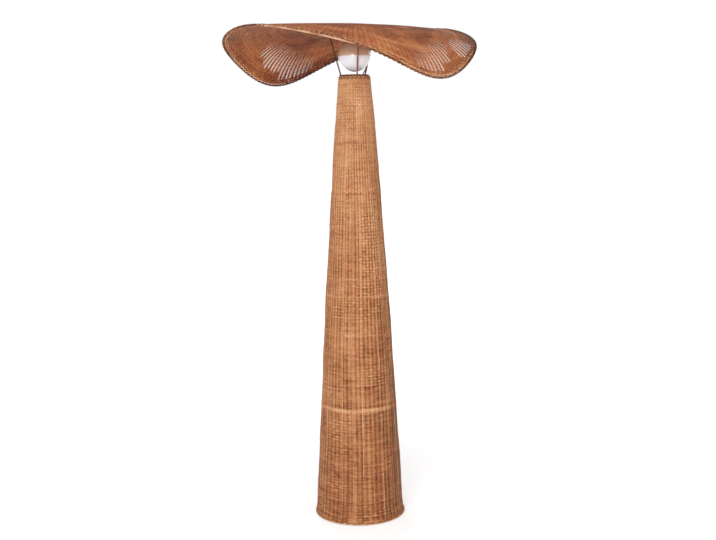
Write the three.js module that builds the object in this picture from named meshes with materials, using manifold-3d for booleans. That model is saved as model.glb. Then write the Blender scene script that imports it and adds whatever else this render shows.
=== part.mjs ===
// Rattan floor lamp: a tapered woven column on a steel weight, three stalks, a woven saddle-shaped shade
// that lifts off them, and a globe bulb that screws out of its holder.
// Millimetres, +Z up. The origin is the centre of the base's underside; -Y is the front.
import * as THREE from 'three';
import { mergeVertices } from 'three/addons/utils/BufferGeometryUtils.js';
import Module from 'manifold-3d';

// Clearances and overruns
const seatGap = 0.3;
const runningGap = 0.4;
const cutOverrun = 2;
const mergeTolerance = 0.0001;

// Base: felt pad and steel weight
const padThickness = 2;
const padInset = 12;
const plateThickness = 6;
const plateClearance = 0.5;

// Woven column, outer radii
const weaveTopZ = 1297;
const weaveTopRadius = 47.5;
const weaveWaistRadius = 128;
const waistZ = 63;
const columnBelly = 5;
const weaveWall = 3;
const footFlare = 5;
const flareHeight = 50;

// Plaited foot border and bound row at the top
const borderLift = 1.5;
const borderHeight = 12;
const borderThickness = 8;
const bindingHeight = 8.6;
const bindingThickness = 3.6;
const bindingInset = 1.5;

// Welded wire frame inside the column
const rodRadius = 2.5;
const hoopRadius = 3;
const innerHoopCount = 2;
const lugWidth = 16;
const lugLength = 22;
const lugThickness = 2;
const lugScrewInset = 13;
const screwShankRadius = 2.4;
const screwHeadRadius = 4.5;
const screwHeadHeight = 3;

// Top ring and stalks
const ringWireRadius = 2.1;
const topRingRadius = 41.5;
const stalkRadius = 2.1;
const stalkFootRise = 4;
const stalkFootOffset = 1.4;
const stalkRise = 110.6;
const pinLength = 16;
const stalkBendLength = 9;

// Leads and their fittings
const leadRadius = 1.75;
const tieThickness = 1.2;
const tieHeight = 4;
const connectorWidth = 9;
const connectorDepth = 7;
const connectorHeight = 15;
const tongueWidth = 5;
const tongueDepth = 3;
const tongueLength = 7;
const plugShoulder = 13;
const glandHeight = 24;
const glandBarrelRadius = 5.5;
const glandBoreRadius = 3.6;
const glandFlangeRadius = 9;
const glandFlangeThickness = 2.5;
const glandNutThickness = 5;
const terminalBoxWidth = 40;
const terminalBoxDepth = 22;
const terminalBoxHeight = 15;
const terminalBoxWall = 2;
const terminalBoxClearance = 11.8;

// Shade: a dome whose rim waves up and down twice
const shadeRadius = 365;
const shadeWall = 2.5;
const crownDrop = 72.2;
const rimWave = 72;
const rimPeak = 9.8;
const rimPinch = 4.2;
const rimSkew = 3.6;
const rimCurl = 25;
const leanBack = 12.2;
const leanRight = 5;
const shiftLeft = 10;
const rimRadius = 4.5;
const slotWidth = 6;
const crownHoleRadius = 24;
const crownClearance = 8.35;

// Head frame and lampholder
const headRingRadius = 75;
const pinInset = 2.5;
const sleeveWall = 1.2;
const armWidth = 8;
const armThickness = 2;
const eyeRadius = 27;
const holderTopGap = 0.35;
const holderCapHeight = 13.8;
const holderCapRadius = 20.5;
const holderCapTopRadius = 14;
const holderCapWall = 1.5;
const holderShoulder = 4.4;
const holderFlangeWidth = 3;
const holderFlangeThickness = 2;
const skirtWall = 1.5;
const skirtLength = 24;
const skirtEngagement = 4.5;
const clampRingHeight = 7;
const clampRingRadius = 25;
const coreHeight = 6;
const coreRadius = 16.4;
const contactHeight = 1.2;
const contactRadius = 3;
const threadShellWall = 1.3;
const threadShellLength = 17.5;

// Bulb
const globeRadius = 47.5;
const globeWall = 1.2;
const neckRadius = 17;
const collarTopRadius = 14.2;
const collarWall = 2;
const collarHeight = 5.2;
const capRadius = 13.2;
const capWall = 1;
const capLength = 20.2;
const capThreadDepth = 0.7;
const capThreadCount = 3;
const insulatorHeight = 1;
const insulatorRadius = 9;
const tipHeight = 1.2;
const tipRadius = 4.5;
const boardThickness = 1.5;
const driverRadius = 9;
const driverLength = 18;

// Directions of the three stalks and their rods, and counts of facets
const stalkAngles = { front: -79, right: 41, left: 161 };
const lugAngles = [-19, 101, 221];
const saddleTurn = 0.7;
const skewTurn = -71;
const glandAngle = 90;
const terminalAngle = 66;
const leadEntryAngle = 58;
const leadSideTurn = 9;
const leadSweepShare = 0.3;
const columnFacets = 40;
const columnSteps = 8;
const frameFacets = 24;
const shadeFacets = 60;
const shadeSteps = 8;
const spokeCount = 112;
const rimFacets = 60;
const borderSides = 8;
const wireSides = 6;
const roundFacets = 24;
const smallFacets = 10;
const tieSegments = 4;
const globeSteps = 8;
const rodSteps = 12;
const bendSteps = 2;
const leadRuns = 10;
const leadStalkRuns = 3;
const clampRibs = 24;
const rodNarrowShare = 0.09;
const tieHeightShares = [0.12, 0.36, 0.6, 0.84];

// Openwork fans of the shade, in the two low lobes: the first gap between spokes that stays open, how many
// do, where on the way from crown to rim the first and last are open, and how far to each side of that
const openFans = [
  { firstGap: 36, gaps: 12, middleShares: [0.88, 0.7], reachShare: 0.12 },
  { firstGap: 95, gaps: 10, middleShares: [0.9, 0.71], reachShare: 0.11 },
  { firstGap: 106, gaps: 5, middleShares: [0.9, 0.89], reachShare: 0.08 },
];
const slotEndShare = 0.955;

// Small maths
const radians = (degrees) => THREE.MathUtils.degToRad(degrees);

function polar(radius, degrees, z) {
  const angle = radians(degrees);
  return new THREE.Vector3(radius * Math.cos(angle), radius * Math.sin(angle), z);
}

// Heights worked out from the sizes above, from the floor up
const plateBottomZ = padThickness + seatGap;
const plateTopZ = plateBottomZ + plateThickness;
const bindingBottomZ = weaveTopZ + seatGap;
const bindingTopZ = bindingBottomZ + bindingHeight;
const topRingZ = bindingTopZ + seatGap + ringWireRadius;
const stalkFootZ = topRingZ + ringWireRadius + seatGap;
const pinBottomZ = stalkFootZ + stalkRise;
const pinCircleRadius = headRingRadius - pinInset;
const pinTopZ = pinBottomZ + pinLength + stalkFootRise;
const sleeveBottomZ = pinTopZ - pinLength;
const sleeveBoreRadius = stalkRadius + runningGap;
const sleeveRadius = sleeveBoreRadius + sleeveWall;
const crownZ = pinTopZ + shadeWall / 2 + crownClearance;

// Outer radius of the woven column at a height: a straight taper with a slight belly and a flared foot
function outerRadius(z) {
  const climb = (z - waistZ) / (weaveTopZ - waistZ);
  const taper = THREE.MathUtils.lerp(weaveWaistRadius, weaveTopRadius, climb);
  const belly = 4 * columnBelly * climb * (1 - climb);
  const flare = z < flareHeight ? footFlare * ((flareHeight - z) / flareHeight) ** 2 : 0;
  return taper + belly + flare;
}

// Inside of the weave, measured to the middle of its flat facets
const facetShare = Math.cos(Math.PI / columnFacets);
const innerRadius = (z) => (outerRadius(z) - weaveWall) * facetShare;

// Middle surface of the shade. share runs from 0 at the crown to 1 at the rim. The fall from the crown waves
// twice round the rim, the whole leans a little, and the low lobes curl in.
function shadePoint(share, degrees) {
  const angle = radians(degrees);
  const saddle = radians(degrees + saddleTurn);
  const wave = rimWave * Math.sin(2 * saddle) + rimPeak * Math.cos(4 * saddle);
  const pinch = rimPinch * Math.sin(6 * saddle);
  const skew = rimSkew * Math.sin(3 * angle + radians(skewTurn));
  const low = (1 - Math.sin(2 * saddle)) / 2;
  const reach = shadeRadius * share - rimCurl * low ** 2 * share ** 7;
  const lean = (leanBack * Math.sin(angle) + leanRight * Math.cos(angle)) * share;
  const z = crownZ + (wave - pinch + skew - crownDrop) * share ** 2.75 + lean;
  return new THREE.Vector3(reach * Math.cos(angle) - shiftLeft * share, reach * Math.sin(angle), z);
}

// Upward normal of the shade's middle surface, from two short steps along it
function shadeNormal(share, degrees) {
  const stepShare = 0.001;
  const stepDegrees = 0.1;
  const alongRib = shadePoint(share + stepShare, degrees).sub(shadePoint(share - stepShare, degrees));
  const alongRow = shadePoint(share, degrees + stepDegrees).sub(shadePoint(share, degrees - stepDegrees));
  return alongRib.cross(alongRow).normalize();
}

// Finishes
function finish(color, roughness, metalness) {
  return new THREE.MeshStandardMaterial({ color, roughness, metalness });
}

const finishes = {
  rattan: () => finish(0xb4794f, 0.62, 0),
  rattanPale: () => finish(0xc99468, 0.6, 0),
  rattanDark: () => finish(0x8f5636, 0.65, 0),
  darkSteel: () => finish(0x2e2420, 0.5, 0.8),
  steel: () => finish(0x8a8d90, 0.4, 1),
  felt: () => finish(0x2a2826, 0.95, 0),
  zinc: () => finish(0xb5b8ba, 0.35, 1),
  blackPlastic: () => finish(0x1d1c1b, 0.5, 0),
  brownLead: () => finish(0x3a2a20, 0.55, 0),
  ceramic: () => finish(0xe9e4da, 0.3, 0),
  brass: () => finish(0xb99a52, 0.3, 1),
  opalGlass: () => finish(0xe6e2ea, 0.12, 0),
  whitePlastic: () => finish(0xe4e1da, 0.4, 0),
};

const lamp = new THREE.Group();

function add(name, geometry, finishName) {
  const mesh = new THREE.Mesh(geometry, finishes[finishName]());
  mesh.name = name;
  lamp.add(mesh);
  return mesh;
}

// Solids turned about Z: points are [radius, z] pairs, up the outside and down the inside
function turned(points, facets) {
  const geometry = new THREE.LatheGeometry(points.map(([r, z]) => new THREE.Vector2(r, z)), facets);
  return geometry.rotateX(Math.PI / 2);
}

const closedTurned = (points, facets) => turned([...points, points[0]], facets);

function disc(radius, bottomZ, topZ, facets) {
  return turned([[0, bottomZ], [radius, bottomZ], [radius, topZ], [0, topZ]], facets);
}

function sleeve(outer, inner, bottomZ, topZ, facets) {
  return closedTurned([[outer, bottomZ], [outer, topZ], [inner, topZ], [inner, bottomZ]], facets);
}

// A closed surface on a grid that joins itself both ways: place(i, j) gives each corner
function closedGrid(rows, columns, place) {
  const corners = [];
  for (let i = 0; i < rows; i += 1) {
    for (let j = 0; j < columns; j += 1) corners.push(...place(i, j).toArray());
  }
  const faces = [];
  for (let i = 0; i < rows; i += 1) {
    for (let j = 0; j < columns; j += 1) {
      const a = i * columns + j;
      const b = i * columns + ((j + 1) % columns);
      const c = ((i + 1) % rows) * columns + ((j + 1) % columns);
      const d = ((i + 1) % rows) * columns + j;
      faces.push(a, c, b, a, d, c);
    }
  }
  const geometry = new THREE.BufferGeometry();
  geometry.setAttribute('position', new THREE.Float32BufferAttribute(corners, 3));
  geometry.setIndex(faces);
  return geometry;
}

// A round wire bent into a closed ring: centre(degrees) gives its middle line
function wireRing(centre, radius, facets, sides) {
  return closedGrid(facets, sides, (i, j) => {
    const degrees = (360 * i) / facets;
    const turn = radians((360 * j) / sides);
    const outward = polar(radius * Math.cos(turn), degrees, radius * Math.sin(turn));
    return centre(degrees).add(outward);
  });
}

const flatWireRing = (ringRadius, z, radius, facets) => (
  wireRing((degrees) => polar(ringRadius, degrees, z), radius, facets, wireSides)
);

function circleShape(radius, sides) {
  const shape = new THREE.Shape();
  for (let k = 0; k < sides; k += 1) {
    const turn = radians((360 * k) / sides);
    if (k === 0) shape.moveTo(radius * Math.cos(turn), radius * Math.sin(turn));
    else shape.lineTo(radius * Math.cos(turn), radius * Math.sin(turn));
  }
  shape.closePath();
  return shape;
}

// A rod or lead of round section along a smooth curve through points. Its steps are shared out evenly
// among the spans between points, so close points at a tight bend get short steps.
function rod(points, radius, stepsPerSpan, sides) {
  const path = new THREE.CatmullRomCurve3(points, false, 'centripetal');
  path.getUtoTmapping = (share) => share;
  const steps = (points.length - 1) * stepsPerSpan;
  const shape = circleShape(radius, sides);
  return new THREE.ExtrudeGeometry(shape, { steps, bevelEnabled: false, extrudePath: path });
}

// A slot-shaped band round two places, standing on bottomZ: a cable tie
function tieBand(from, to, innerReach, thickness, bottomZ, height) {
  const along = Math.atan2(to.y - from.y, to.x - from.x);
  const span = Math.hypot(to.x - from.x, to.y - from.y);
  const outline = (reach, holder) => {
    holder.absarc(span, 0, reach, -Math.PI / 2, Math.PI / 2, false);
    holder.absarc(0, 0, reach, Math.PI / 2, Math.PI * 1.5, false);
    holder.closePath();
    return holder;
  };
  const shape = outline(innerReach + thickness, new THREE.Shape());
  shape.holes.push(outline(innerReach, new THREE.Path()));
  const geometry = new THREE.ExtrudeGeometry(shape, {
    depth: height, bevelEnabled: false, curveSegments: tieSegments,
  });
  return geometry.rotateZ(along).translate(from.x, from.y, bottomZ);
}

function box(width, depth, height, x, y, bottomZ) {
  return new THREE.BoxGeometry(width, depth, height).translate(x, y, bottomZ + height / 2);
}

// Joining and cutting
const wasm = await Module();
wasm.setup();

function solid(geometry) {
  const bare = geometry.clone();
  bare.deleteAttribute('normal');
  bare.deleteAttribute('uv');
  const merged = mergeVertices(bare, mergeTolerance);
  return new wasm.Manifold(new wasm.Mesh({
    numProp: 3,
    vertProperties: new Float32Array(merged.attributes.position.array),
    triVerts: new Uint32Array(merged.index.array),
  }));
}

function geometryOf(manifold) {
  const mesh = manifold.getMesh();
  const geometry = new THREE.BufferGeometry();
  geometry.setAttribute('position', new THREE.Float32BufferAttribute(mesh.vertProperties, 3));
  geometry.setIndex([...mesh.triVerts]);
  return geometry;
}

const joined = (geometries) => geometryOf(geometries.map(solid).reduce((whole, next) => whole.add(next)));

const cut = (geometry, ...tools) => (
  geometryOf(tools.map(solid).reduce((whole, next) => whole.subtract(next), solid(geometry)))
);

// Foot border: inner and outer radii, and the weave's lower edge above it
const borderTopZ = borderLift + borderHeight;
const borderOuter = outerRadius(borderLift);
const borderInner = (borderOuter - borderThickness) * facetShare;
const weaveBottomZ = borderTopZ + seatGap;
const plateRadius = borderInner - plateClearance;
const hoopZ = plateTopZ + seatGap + hoopRadius;
const baseHoopRadius = plateRadius - hoopRadius;
const terminalBoxReach = baseHoopRadius - hoopRadius - terminalBoxClearance - terminalBoxDepth / 2;

function addBase() {
  add('base_pad', disc(plateRadius - padInset, 0, padThickness, columnFacets), 'felt');
  const outline = circleShape(plateRadius, columnFacets);
  for (const angle of lugAngles) {
    const place = polar(lugScrewRadius, angle, 0);
    const hole = new THREE.Path();
    hole.absarc(place.x, place.y, screwShankRadius + seatGap, 0, Math.PI * 2, true);
    outline.holes.push(hole);
  }
  const plate = new THREE.ExtrudeGeometry(outline, {
    depth: plateThickness, bevelEnabled: false, curveSegments: smallFacets,
  });
  add('ballast_plate', plate.translate(0, 0, plateBottomZ), 'steel');
}

const lugOuterRadius = baseHoopRadius;
const lugScrewRadius = lugOuterRadius - lugScrewInset;
const lugBottomZ = plateTopZ + seatGap;

function lug(angle) {
  const plate = box(lugLength, lugWidth, lugThickness, lugOuterRadius - lugLength / 2, 0, lugBottomZ);
  return plate.rotateZ(radians(angle));
}

function lugHole(angle) {
  const place = polar(lugScrewRadius, angle, 0);
  const bottomZ = lugBottomZ - cutOverrun;
  const topZ = lugBottomZ + lugThickness + cutOverrun;
  const tool = disc(screwShankRadius + seatGap, bottomZ, topZ, smallFacets);
  return tool.translate(place.x, place.y, 0);
}

function addLugScrews() {
  lugAngles.forEach((angle, index) => {
    const headZ = lugBottomZ + lugThickness + seatGap;
    const screw = turned([
      [0, plateBottomZ], [screwShankRadius, plateBottomZ], [screwShankRadius, headZ],
      [screwHeadRadius, headZ], [screwHeadRadius, headZ + screwHeadHeight / 2],
      [screwHeadRadius / 2, headZ + screwHeadHeight], [0, headZ + screwHeadHeight],
    ], smallFacets);
    const place = polar(lugScrewRadius, angle, 0);
    add(`lug_screw_${index + 1}`, screw.translate(place.x, place.y, 0), 'zinc');
  });
}

// Where an upright rod runs: just inside the weave, and inside the binding at the top
const bindingOuter = weaveTopRadius - bindingInset / 2;
const bindingInner = bindingOuter - bindingThickness;
const underBinding = bindingInner * facetShare - seatGap - rodRadius;

function rodReach(z) {
  const besideWeave = innerRadius(z) - tieThickness - 4 * seatGap - rodRadius;
  const overPlate = baseHoopRadius;
  const footBlend = THREE.MathUtils.smoothstep(z, hoopZ, flareHeight);
  const belowBinding = Math.max(0, weaveTopZ - z) * rodNarrowShare + underBinding;
  return Math.min(THREE.MathUtils.lerp(overPlate, besideWeave, footBlend), belowBinding);
}

function uprightRod(angle) {
  const points = [];
  for (let k = 0; k <= rodSteps; k += 1) {
    const z = THREE.MathUtils.lerp(hoopZ, bindingTopZ, k / rodSteps);
    points.push(polar(rodReach(z), angle, z));
  }
  points.splice(1, 0, polar(rodReach(flareHeight), angle, flareHeight));
  return rod(points, rodRadius, 1, wireSides);
}

const innerHoopHeight = (index) => (weaveTopZ * (index + 1)) / (innerHoopCount + 1);

function addColumnFrame() {
  const baseHoop = flatWireRing(baseHoopRadius, hoopZ, hoopRadius, frameFacets);
  const pieces = [baseHoop, ...lugAngles.map(lug), ...Object.values(stalkAngles).map(uprightRod)];
  for (let index = 0; index < innerHoopCount; index += 1) {
    const z = innerHoopHeight(index);
    pieces.push(flatWireRing(innerRadius(z) - 2 * seatGap - rodRadius, z, rodRadius, frameFacets));
  }
  add('column_frame', cut(joined(pieces), ...lugAngles.map(lugHole)), 'darkSteel');
}

function addColumnWeave() {
  const heights = [weaveBottomZ, (weaveBottomZ + flareHeight) / 2];
  for (let k = 0; k <= columnSteps; k += 1) {
    heights.push(THREE.MathUtils.lerp(flareHeight, weaveTopZ, k / columnSteps));
  }
  const outside = heights.map((z) => [outerRadius(z), z]);
  const inside = [...outside].reverse().map(([radius, z]) => [radius - weaveWall, z]);
  const shell = closedTurned([...outside, ...inside], columnFacets);
  const hole = disc(glandBarrelRadius + seatGap, -glandReach, glandReach, smallFacets);
  hole.rotateX(Math.PI / 2).translate(0, outerRadius(glandHeight), glandHeight);
  hole.rotateZ(radians(glandAngle - 90));
  add('column_weave', cut(shell, hole), 'rattan');
}

function addBorderAndBinding() {
  const border = [];
  for (let k = 0; k < borderSides; k += 1) {
    const turn = radians((360 * k) / borderSides);
    const z = borderLift + (borderHeight * (1 + Math.sin(turn))) / 2;
    border.push([borderOuter - (borderThickness * (1 - Math.cos(turn))) / 2, z]);
  }
  add('foot_border', closedTurned(border, columnFacets), 'rattanDark');
  const bindingCorner = bindingThickness / 3;
  add('top_binding', closedTurned([
    [bindingOuter - bindingCorner, bindingBottomZ], [bindingOuter, bindingBottomZ + bindingCorner],
    [bindingOuter - bindingInset / 2, bindingTopZ - bindingCorner],
    [bindingOuter - bindingCorner - bindingInset / 2, bindingTopZ],
    [bindingInner, bindingTopZ], [bindingInner, bindingBottomZ],
  ], columnFacets), 'rattanDark');
  add('top_ring', flatWireRing(topRingRadius, topRingZ, ringWireRadius, columnFacets), 'darkSteel');
}

// Middle line of a stalk: a short upright foot, a lean outwards, and an upright pin
function stalkReach(z) {
  const climb = (z - stalkFootZ - stalkFootRise) / (stalkRise - stalkBendLength);
  const footRadius = topRingRadius + stalkFootOffset;
  return THREE.MathUtils.lerp(footRadius, pinCircleRadius, THREE.MathUtils.clamp(climb, 0, 1));
}

function addStalks() {
  for (const [side, angle] of Object.entries(stalkAngles)) {
    const heights = [
      stalkFootZ, stalkFootZ + stalkFootRise, stalkFootZ + stalkFootRise + stalkRise / 4,
      stalkFootZ + stalkFootRise + stalkRise / 2, stalkFootZ + stalkFootRise + (stalkRise * 3) / 4,
      pinBottomZ - stalkBendLength, sleeveBottomZ - runningGap, sleeveBottomZ + pinLength / 2, pinTopZ,
    ];
    const points = heights.map((z) => polar(stalkReach(z), angle, z));
    add(`stalk_${side}`, rod(points, stalkRadius, bendSteps, wireSides), 'darkSteel');
  }
}

// Cord gland low at the back, through the weave, with its nut inside
const glandReach = weaveWall + glandFlangeThickness + glandNutThickness;

function addGland() {
  const outside = outerRadius(glandHeight - glandFlangeRadius) + seatGap;
  const inside = innerRadius(glandHeight + glandFlangeRadius) - seatGap;
  const nutInside = inside - glandNutThickness;
  const gland = closedTurned([
    [glandBarrelRadius, nutInside], [glandBarrelRadius, outside], [glandFlangeRadius, outside],
    [glandFlangeRadius - glandFlangeThickness / 2, outside + glandFlangeThickness],
    [glandBoreRadius, outside + glandFlangeThickness], [glandBoreRadius, nutInside],
  ], roundFacets);
  const nut = sleeve(glandFlangeRadius, glandBarrelRadius + seatGap, nutInside, inside, roundFacets);
  for (const [name, geometry] of [['cord_gland', gland], ['gland_nut', nut]]) {
    geometry.rotateX(-Math.PI / 2).translate(0, 0, glandHeight).rotateZ(radians(glandAngle - 90));
    add(name, geometry, 'blackPlastic');
  }
}

function addTerminalBox() {
  const bottomZ = plateTopZ + seatGap;
  const outer = box(terminalBoxDepth, terminalBoxWidth, terminalBoxHeight, terminalBoxReach, 0, bottomZ);
  const inner = box(terminalBoxDepth - 2 * terminalBoxWall, terminalBoxWidth - 2 * terminalBoxWall,
    terminalBoxHeight, terminalBoxReach, 0, bottomZ + terminalBoxWall);
  const base = cut(outer, inner);
  const lidZ = bottomZ + terminalBoxHeight + seatGap;
  const lid = box(terminalBoxDepth, terminalBoxWidth, terminalBoxWall, terminalBoxReach, 0, lidZ);
  add('terminal_box', base.rotateZ(radians(terminalAngle)), 'blackPlastic');
  add('terminal_lid', lid.rotateZ(radians(terminalAngle)), 'blackPlastic');
}

// The lead follows a rod on its inner side, at one even distance, clear of the hoops
const leadOffset = rodRadius + leadRadius + seatGap * 3;
const leadBesideRod = (z) => polar(rodReach(z) - leadOffset, stalkAngles.right, z);

// The lead hides behind the stalk as seen from the front
const leadBehindStalk = stalkRadius + leadRadius + seatGap * 2;

function leadBesideStalk(z) {
  return polar(stalkReach(z), stalkAngles.right, z).add(new THREE.Vector3(0, leadBehindStalk, 0));
}

const connectorPlace = polar(pinCircleRadius, stalkAngles.right, 0)
  .add(new THREE.Vector3(0, sleeveRadius + runningGap + connectorDepth / 2, 0));
const socketTopZ = sleeveBottomZ - runningGap - seatGap;
const socketBottomZ = socketTopZ - connectorHeight;
const plugBottomZ = socketTopZ + seatGap;
const plugTopZ = plugBottomZ + plugShoulder;

function addColumnLead() {
  const boxTopZ = plateTopZ + terminalBoxHeight + 2 * seatGap + terminalBoxWall;
  const startZ = boxTopZ + seatGap;
  const start = polar(terminalBoxReach, terminalAngle, startZ);
  const passRing = topRingRadius - ringWireRadius - leadRadius - 2 * seatGap;
  const points = [start, polar(terminalBoxReach, terminalAngle, startZ + 4 * leadRadius)];
  const lowZ = flareHeight * 3;
  const midway = leadBesideRod(lowZ).lerp(start, 0.5).setZ((startZ + lowZ) / 2);
  points.push(midway);
  const highZ = weaveTopZ - weaveTopRadius;
  for (let k = 0; k <= leadRuns; k += 1) {
    points.push(leadBesideRod(THREE.MathUtils.lerp(lowZ, highZ, k / leadRuns)));
  }
  const sideAngle = stalkAngles.right + leadSideTurn;
  points.push(polar(passRing, sideAngle, bindingBottomZ - bindingHeight));
  points.push(polar(passRing, sideAngle, topRingZ));
  const clearZ = stalkFootZ + stalkFootRise + stalkRadius;
  points.push(polar(stalkReach(clearZ) - leadRadius, sideAngle, clearZ));
  const besideZ = stalkFootZ + stalkRise / 4;
  const topBesideZ = socketBottomZ - 5 * leadRadius;
  for (let k = 0; k <= leadStalkRuns; k += 1) {
    points.push(leadBesideStalk(THREE.MathUtils.lerp(besideZ, topBesideZ, k / leadStalkRuns)));
  }
  points.push(new THREE.Vector3(connectorPlace.x, connectorPlace.y, socketBottomZ - leadRadius));
  points.push(new THREE.Vector3(connectorPlace.x, connectorPlace.y, socketBottomZ - seatGap));
  add('column_lead', rod(points, leadRadius, bendSteps, wireSides), 'brownLead');
}

function addTies() {
  tieHeightShares.forEach((share, index) => {
    const z = THREE.MathUtils.lerp(flareHeight * 2, weaveTopZ - weaveTopRadius, share);
    const onRod = polar(rodReach(z), stalkAngles.right, z);
    const reach = rodRadius + seatGap / 2 + tieSlack(z);
    const band = tieBand(onRod, leadBesideRod(z), reach, tieThickness, z, tieHeight);
    add(`lead_tie_${index + 1}`, band, 'blackPlastic');
  });
  const z = stalkFootZ + stalkRise / 2;
  const middleZ = z + tieHeight / 2;
  const slack = Math.abs(stalkReach(z + tieHeight) - stalkReach(z)) / 2;
  const onStalk = polar(stalkReach(middleZ), stalkAngles.right, middleZ);
  const stalkBandReach = stalkRadius + seatGap / 2 + slack;
  const band = tieBand(onStalk, leadBesideStalk(middleZ), stalkBandReach, tieThickness, z, tieHeight);
  add('stalk_tie', band, 'blackPlastic');
}

const tieSlack = (z) => Math.abs(rodReach(z + tieHeight) - rodReach(z));

function addConnector() {
  const socket = box(connectorWidth, connectorDepth, connectorHeight, connectorPlace.x, connectorPlace.y,
    socketBottomZ);
  const slot = box(tongueWidth + 2 * runningGap, tongueDepth + 2 * runningGap,
    tongueLength + runningGap + cutOverrun, connectorPlace.x, connectorPlace.y,
    socketTopZ - tongueLength - runningGap);
  const saddleDepth = sleeveRadius + runningGap - stalkRadius - seatGap;
  const saddleY = connectorPlace.y - connectorDepth / 2 - saddleDepth / 2;
  const saddle = box(connectorWidth / 2, saddleDepth + seatGap, tieHeight, connectorPlace.x,
    saddleY + seatGap / 2, socketTopZ - tieHeight);
  add('lead_socket', cut(joined([socket, saddle]), slot), 'blackPlastic');
  const plug = box(connectorWidth, connectorDepth, plugShoulder, connectorPlace.x, connectorPlace.y,
    plugBottomZ);
  const tongue = box(tongueWidth, tongueDepth, tongueLength + connectorHeight / 4, connectorPlace.x,
    connectorPlace.y, plugBottomZ - tongueLength);
  add('lead_plug', joined([plug, tongue]), 'blackPlastic');
}

// An upright blade along one gap between spokes, which cuts a slot through the weave
function slotBlade(degrees, innerShare, outerShare) {
  const from = shadePoint(innerShare, degrees);
  const to = shadePoint(outerShare, degrees);
  const span = Math.hypot(to.x - from.x, to.y - from.y);
  const lowZ = Math.min(from.z, to.z) - shadeWall - cutOverrun;
  const highZ = Math.max(from.z, to.z) + shadeWall + cutOverrun;
  const blade = box(span, slotWidth, highZ - lowZ, span / 2, 0, lowZ);
  return blade.rotateZ(Math.atan2(to.y - from.y, to.x - from.x)).translate(from.x, from.y, 0);
}

// The slots of a fan are longest in its middle, so that its outline is an oval, and they end short of the rim
function fanBlades({ firstGap, gaps, middleShares, reachShare }) {
  const blades = [];
  for (let k = 0; k < gaps; k += 1) {
    const across = (2 * k + 1) / gaps - 1;
    const halfShare = reachShare * Math.sqrt(1 - across ** 2);
    const middleShare = THREE.MathUtils.lerp(...middleShares, k / (gaps - 1));
    const outerShare = Math.min(middleShare + halfShare, slotEndShare);
    const degrees = (360 * (firstGap + k + 0.5)) / spokeCount;
    blades.push(slotBlade(degrees, middleShare - halfShare, outerShare));
  }
  return blades;
}

// Shade weave: a shell on the saddle surface, from the crown hole to just inside the rim
function addShade() {
  const firstShare = crownHoleRadius / shadeRadius;
  const lastShare = (shadeRadius - rimRadius - seatGap) / shadeRadius;
  const along = [];
  for (let k = 0; k <= shadeSteps; k += 1) {
    along.push(THREE.MathUtils.lerp(firstShare, lastShare, k / shadeSteps));
  }
  const section = [
    ...along.map((share) => [share, -1]),
    ...[...along].reverse().map((share) => [share, 1]),
  ];
  const shell = closedGrid(shadeFacets, section.length, (i, j) => {
    const degrees = (360 * i) / shadeFacets;
    const [share, side] = section[j];
    const offset = shadeNormal(share, degrees).multiplyScalar((side * shadeWall) / 2);
    return shadePoint(share, degrees).add(offset);
  });
  add('shade_weave', cut(shell, ...openFans.flatMap(fanBlades)), 'rattan');
  add('shade_rim', closedGrid(rimFacets, wireSides, (i, j) => {
    const degrees = (360 * i) / rimFacets;
    const turn = radians((360 * j) / wireSides);
    const up = shadeNormal(1, degrees);
    const across = shadePoint(1, degrees).sub(shadePoint(lastShare, degrees)).normalize();
    return shadePoint(1, degrees)
      .add(across.multiplyScalar(rimRadius * Math.cos(turn)))
      .add(up.multiplyScalar(rimRadius * Math.sin(turn)));
  }), 'rattanPale');
  const crown = disc(crownHoleRadius - 2 * seatGap, crownZ - shadeWall / 2, crownZ + shadeWall / 2,
    roundFacets);
  add('crown_disc', crown.translate(-shiftLeft * firstShare, 0, 0), 'rattan');
}

// Lampholder heights, from the crown down
const holderTopZ = crownZ - shadeWall / 2 - holderTopGap;
const holderCapBottomZ = holderTopZ - holderCapHeight;
const eyeTopZ = holderCapBottomZ - seatGap;
const eyeBottomZ = eyeTopZ - armThickness;
const holderBoreRadius = holderCapRadius - holderCapWall;
const skirtRadius = holderBoreRadius - seatGap;
const skirtTopZ = holderCapBottomZ + skirtEngagement;
const skirtBottomZ = skirtTopZ - skirtLength;
const coreTopZ = holderTopZ - holderCapWall - seatGap * 3;
const coreBottomZ = coreTopZ - coreHeight;
const threadTopZ = coreBottomZ - seatGap;
const tipTopZ = threadTopZ - contactHeight - seatGap;
const capTopZ = tipTopZ - tipHeight - insulatorHeight;
const capBottomZ = capTopZ - capLength;
const collarTopZ = capBottomZ - seatGap;
const collarBottomZ = collarTopZ - collarHeight;
const globeZ = collarBottomZ - seatGap - Math.sqrt(globeRadius ** 2 - neckRadius ** 2);
const leadZ = skirtTopZ + 2 * seatGap + leadRadius;

// Height of the head ring's middle: it follows the underside of the weave, whose rings drift to the left
function headRingHeight(degrees) {
  const drift = (shiftLeft * headRingRadius) / shadeRadius;
  const place = polar(headRingRadius, degrees, 0).add(new THREE.Vector3(drift, 0, 0));
  const direction = THREE.MathUtils.radToDeg(Math.atan2(place.y, place.x));
  const above = shadePoint(place.length() / shadeRadius, direction);
  return above.z - shadeWall / 2 - seatGap * 2 - ringWireRadius;
}

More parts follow.
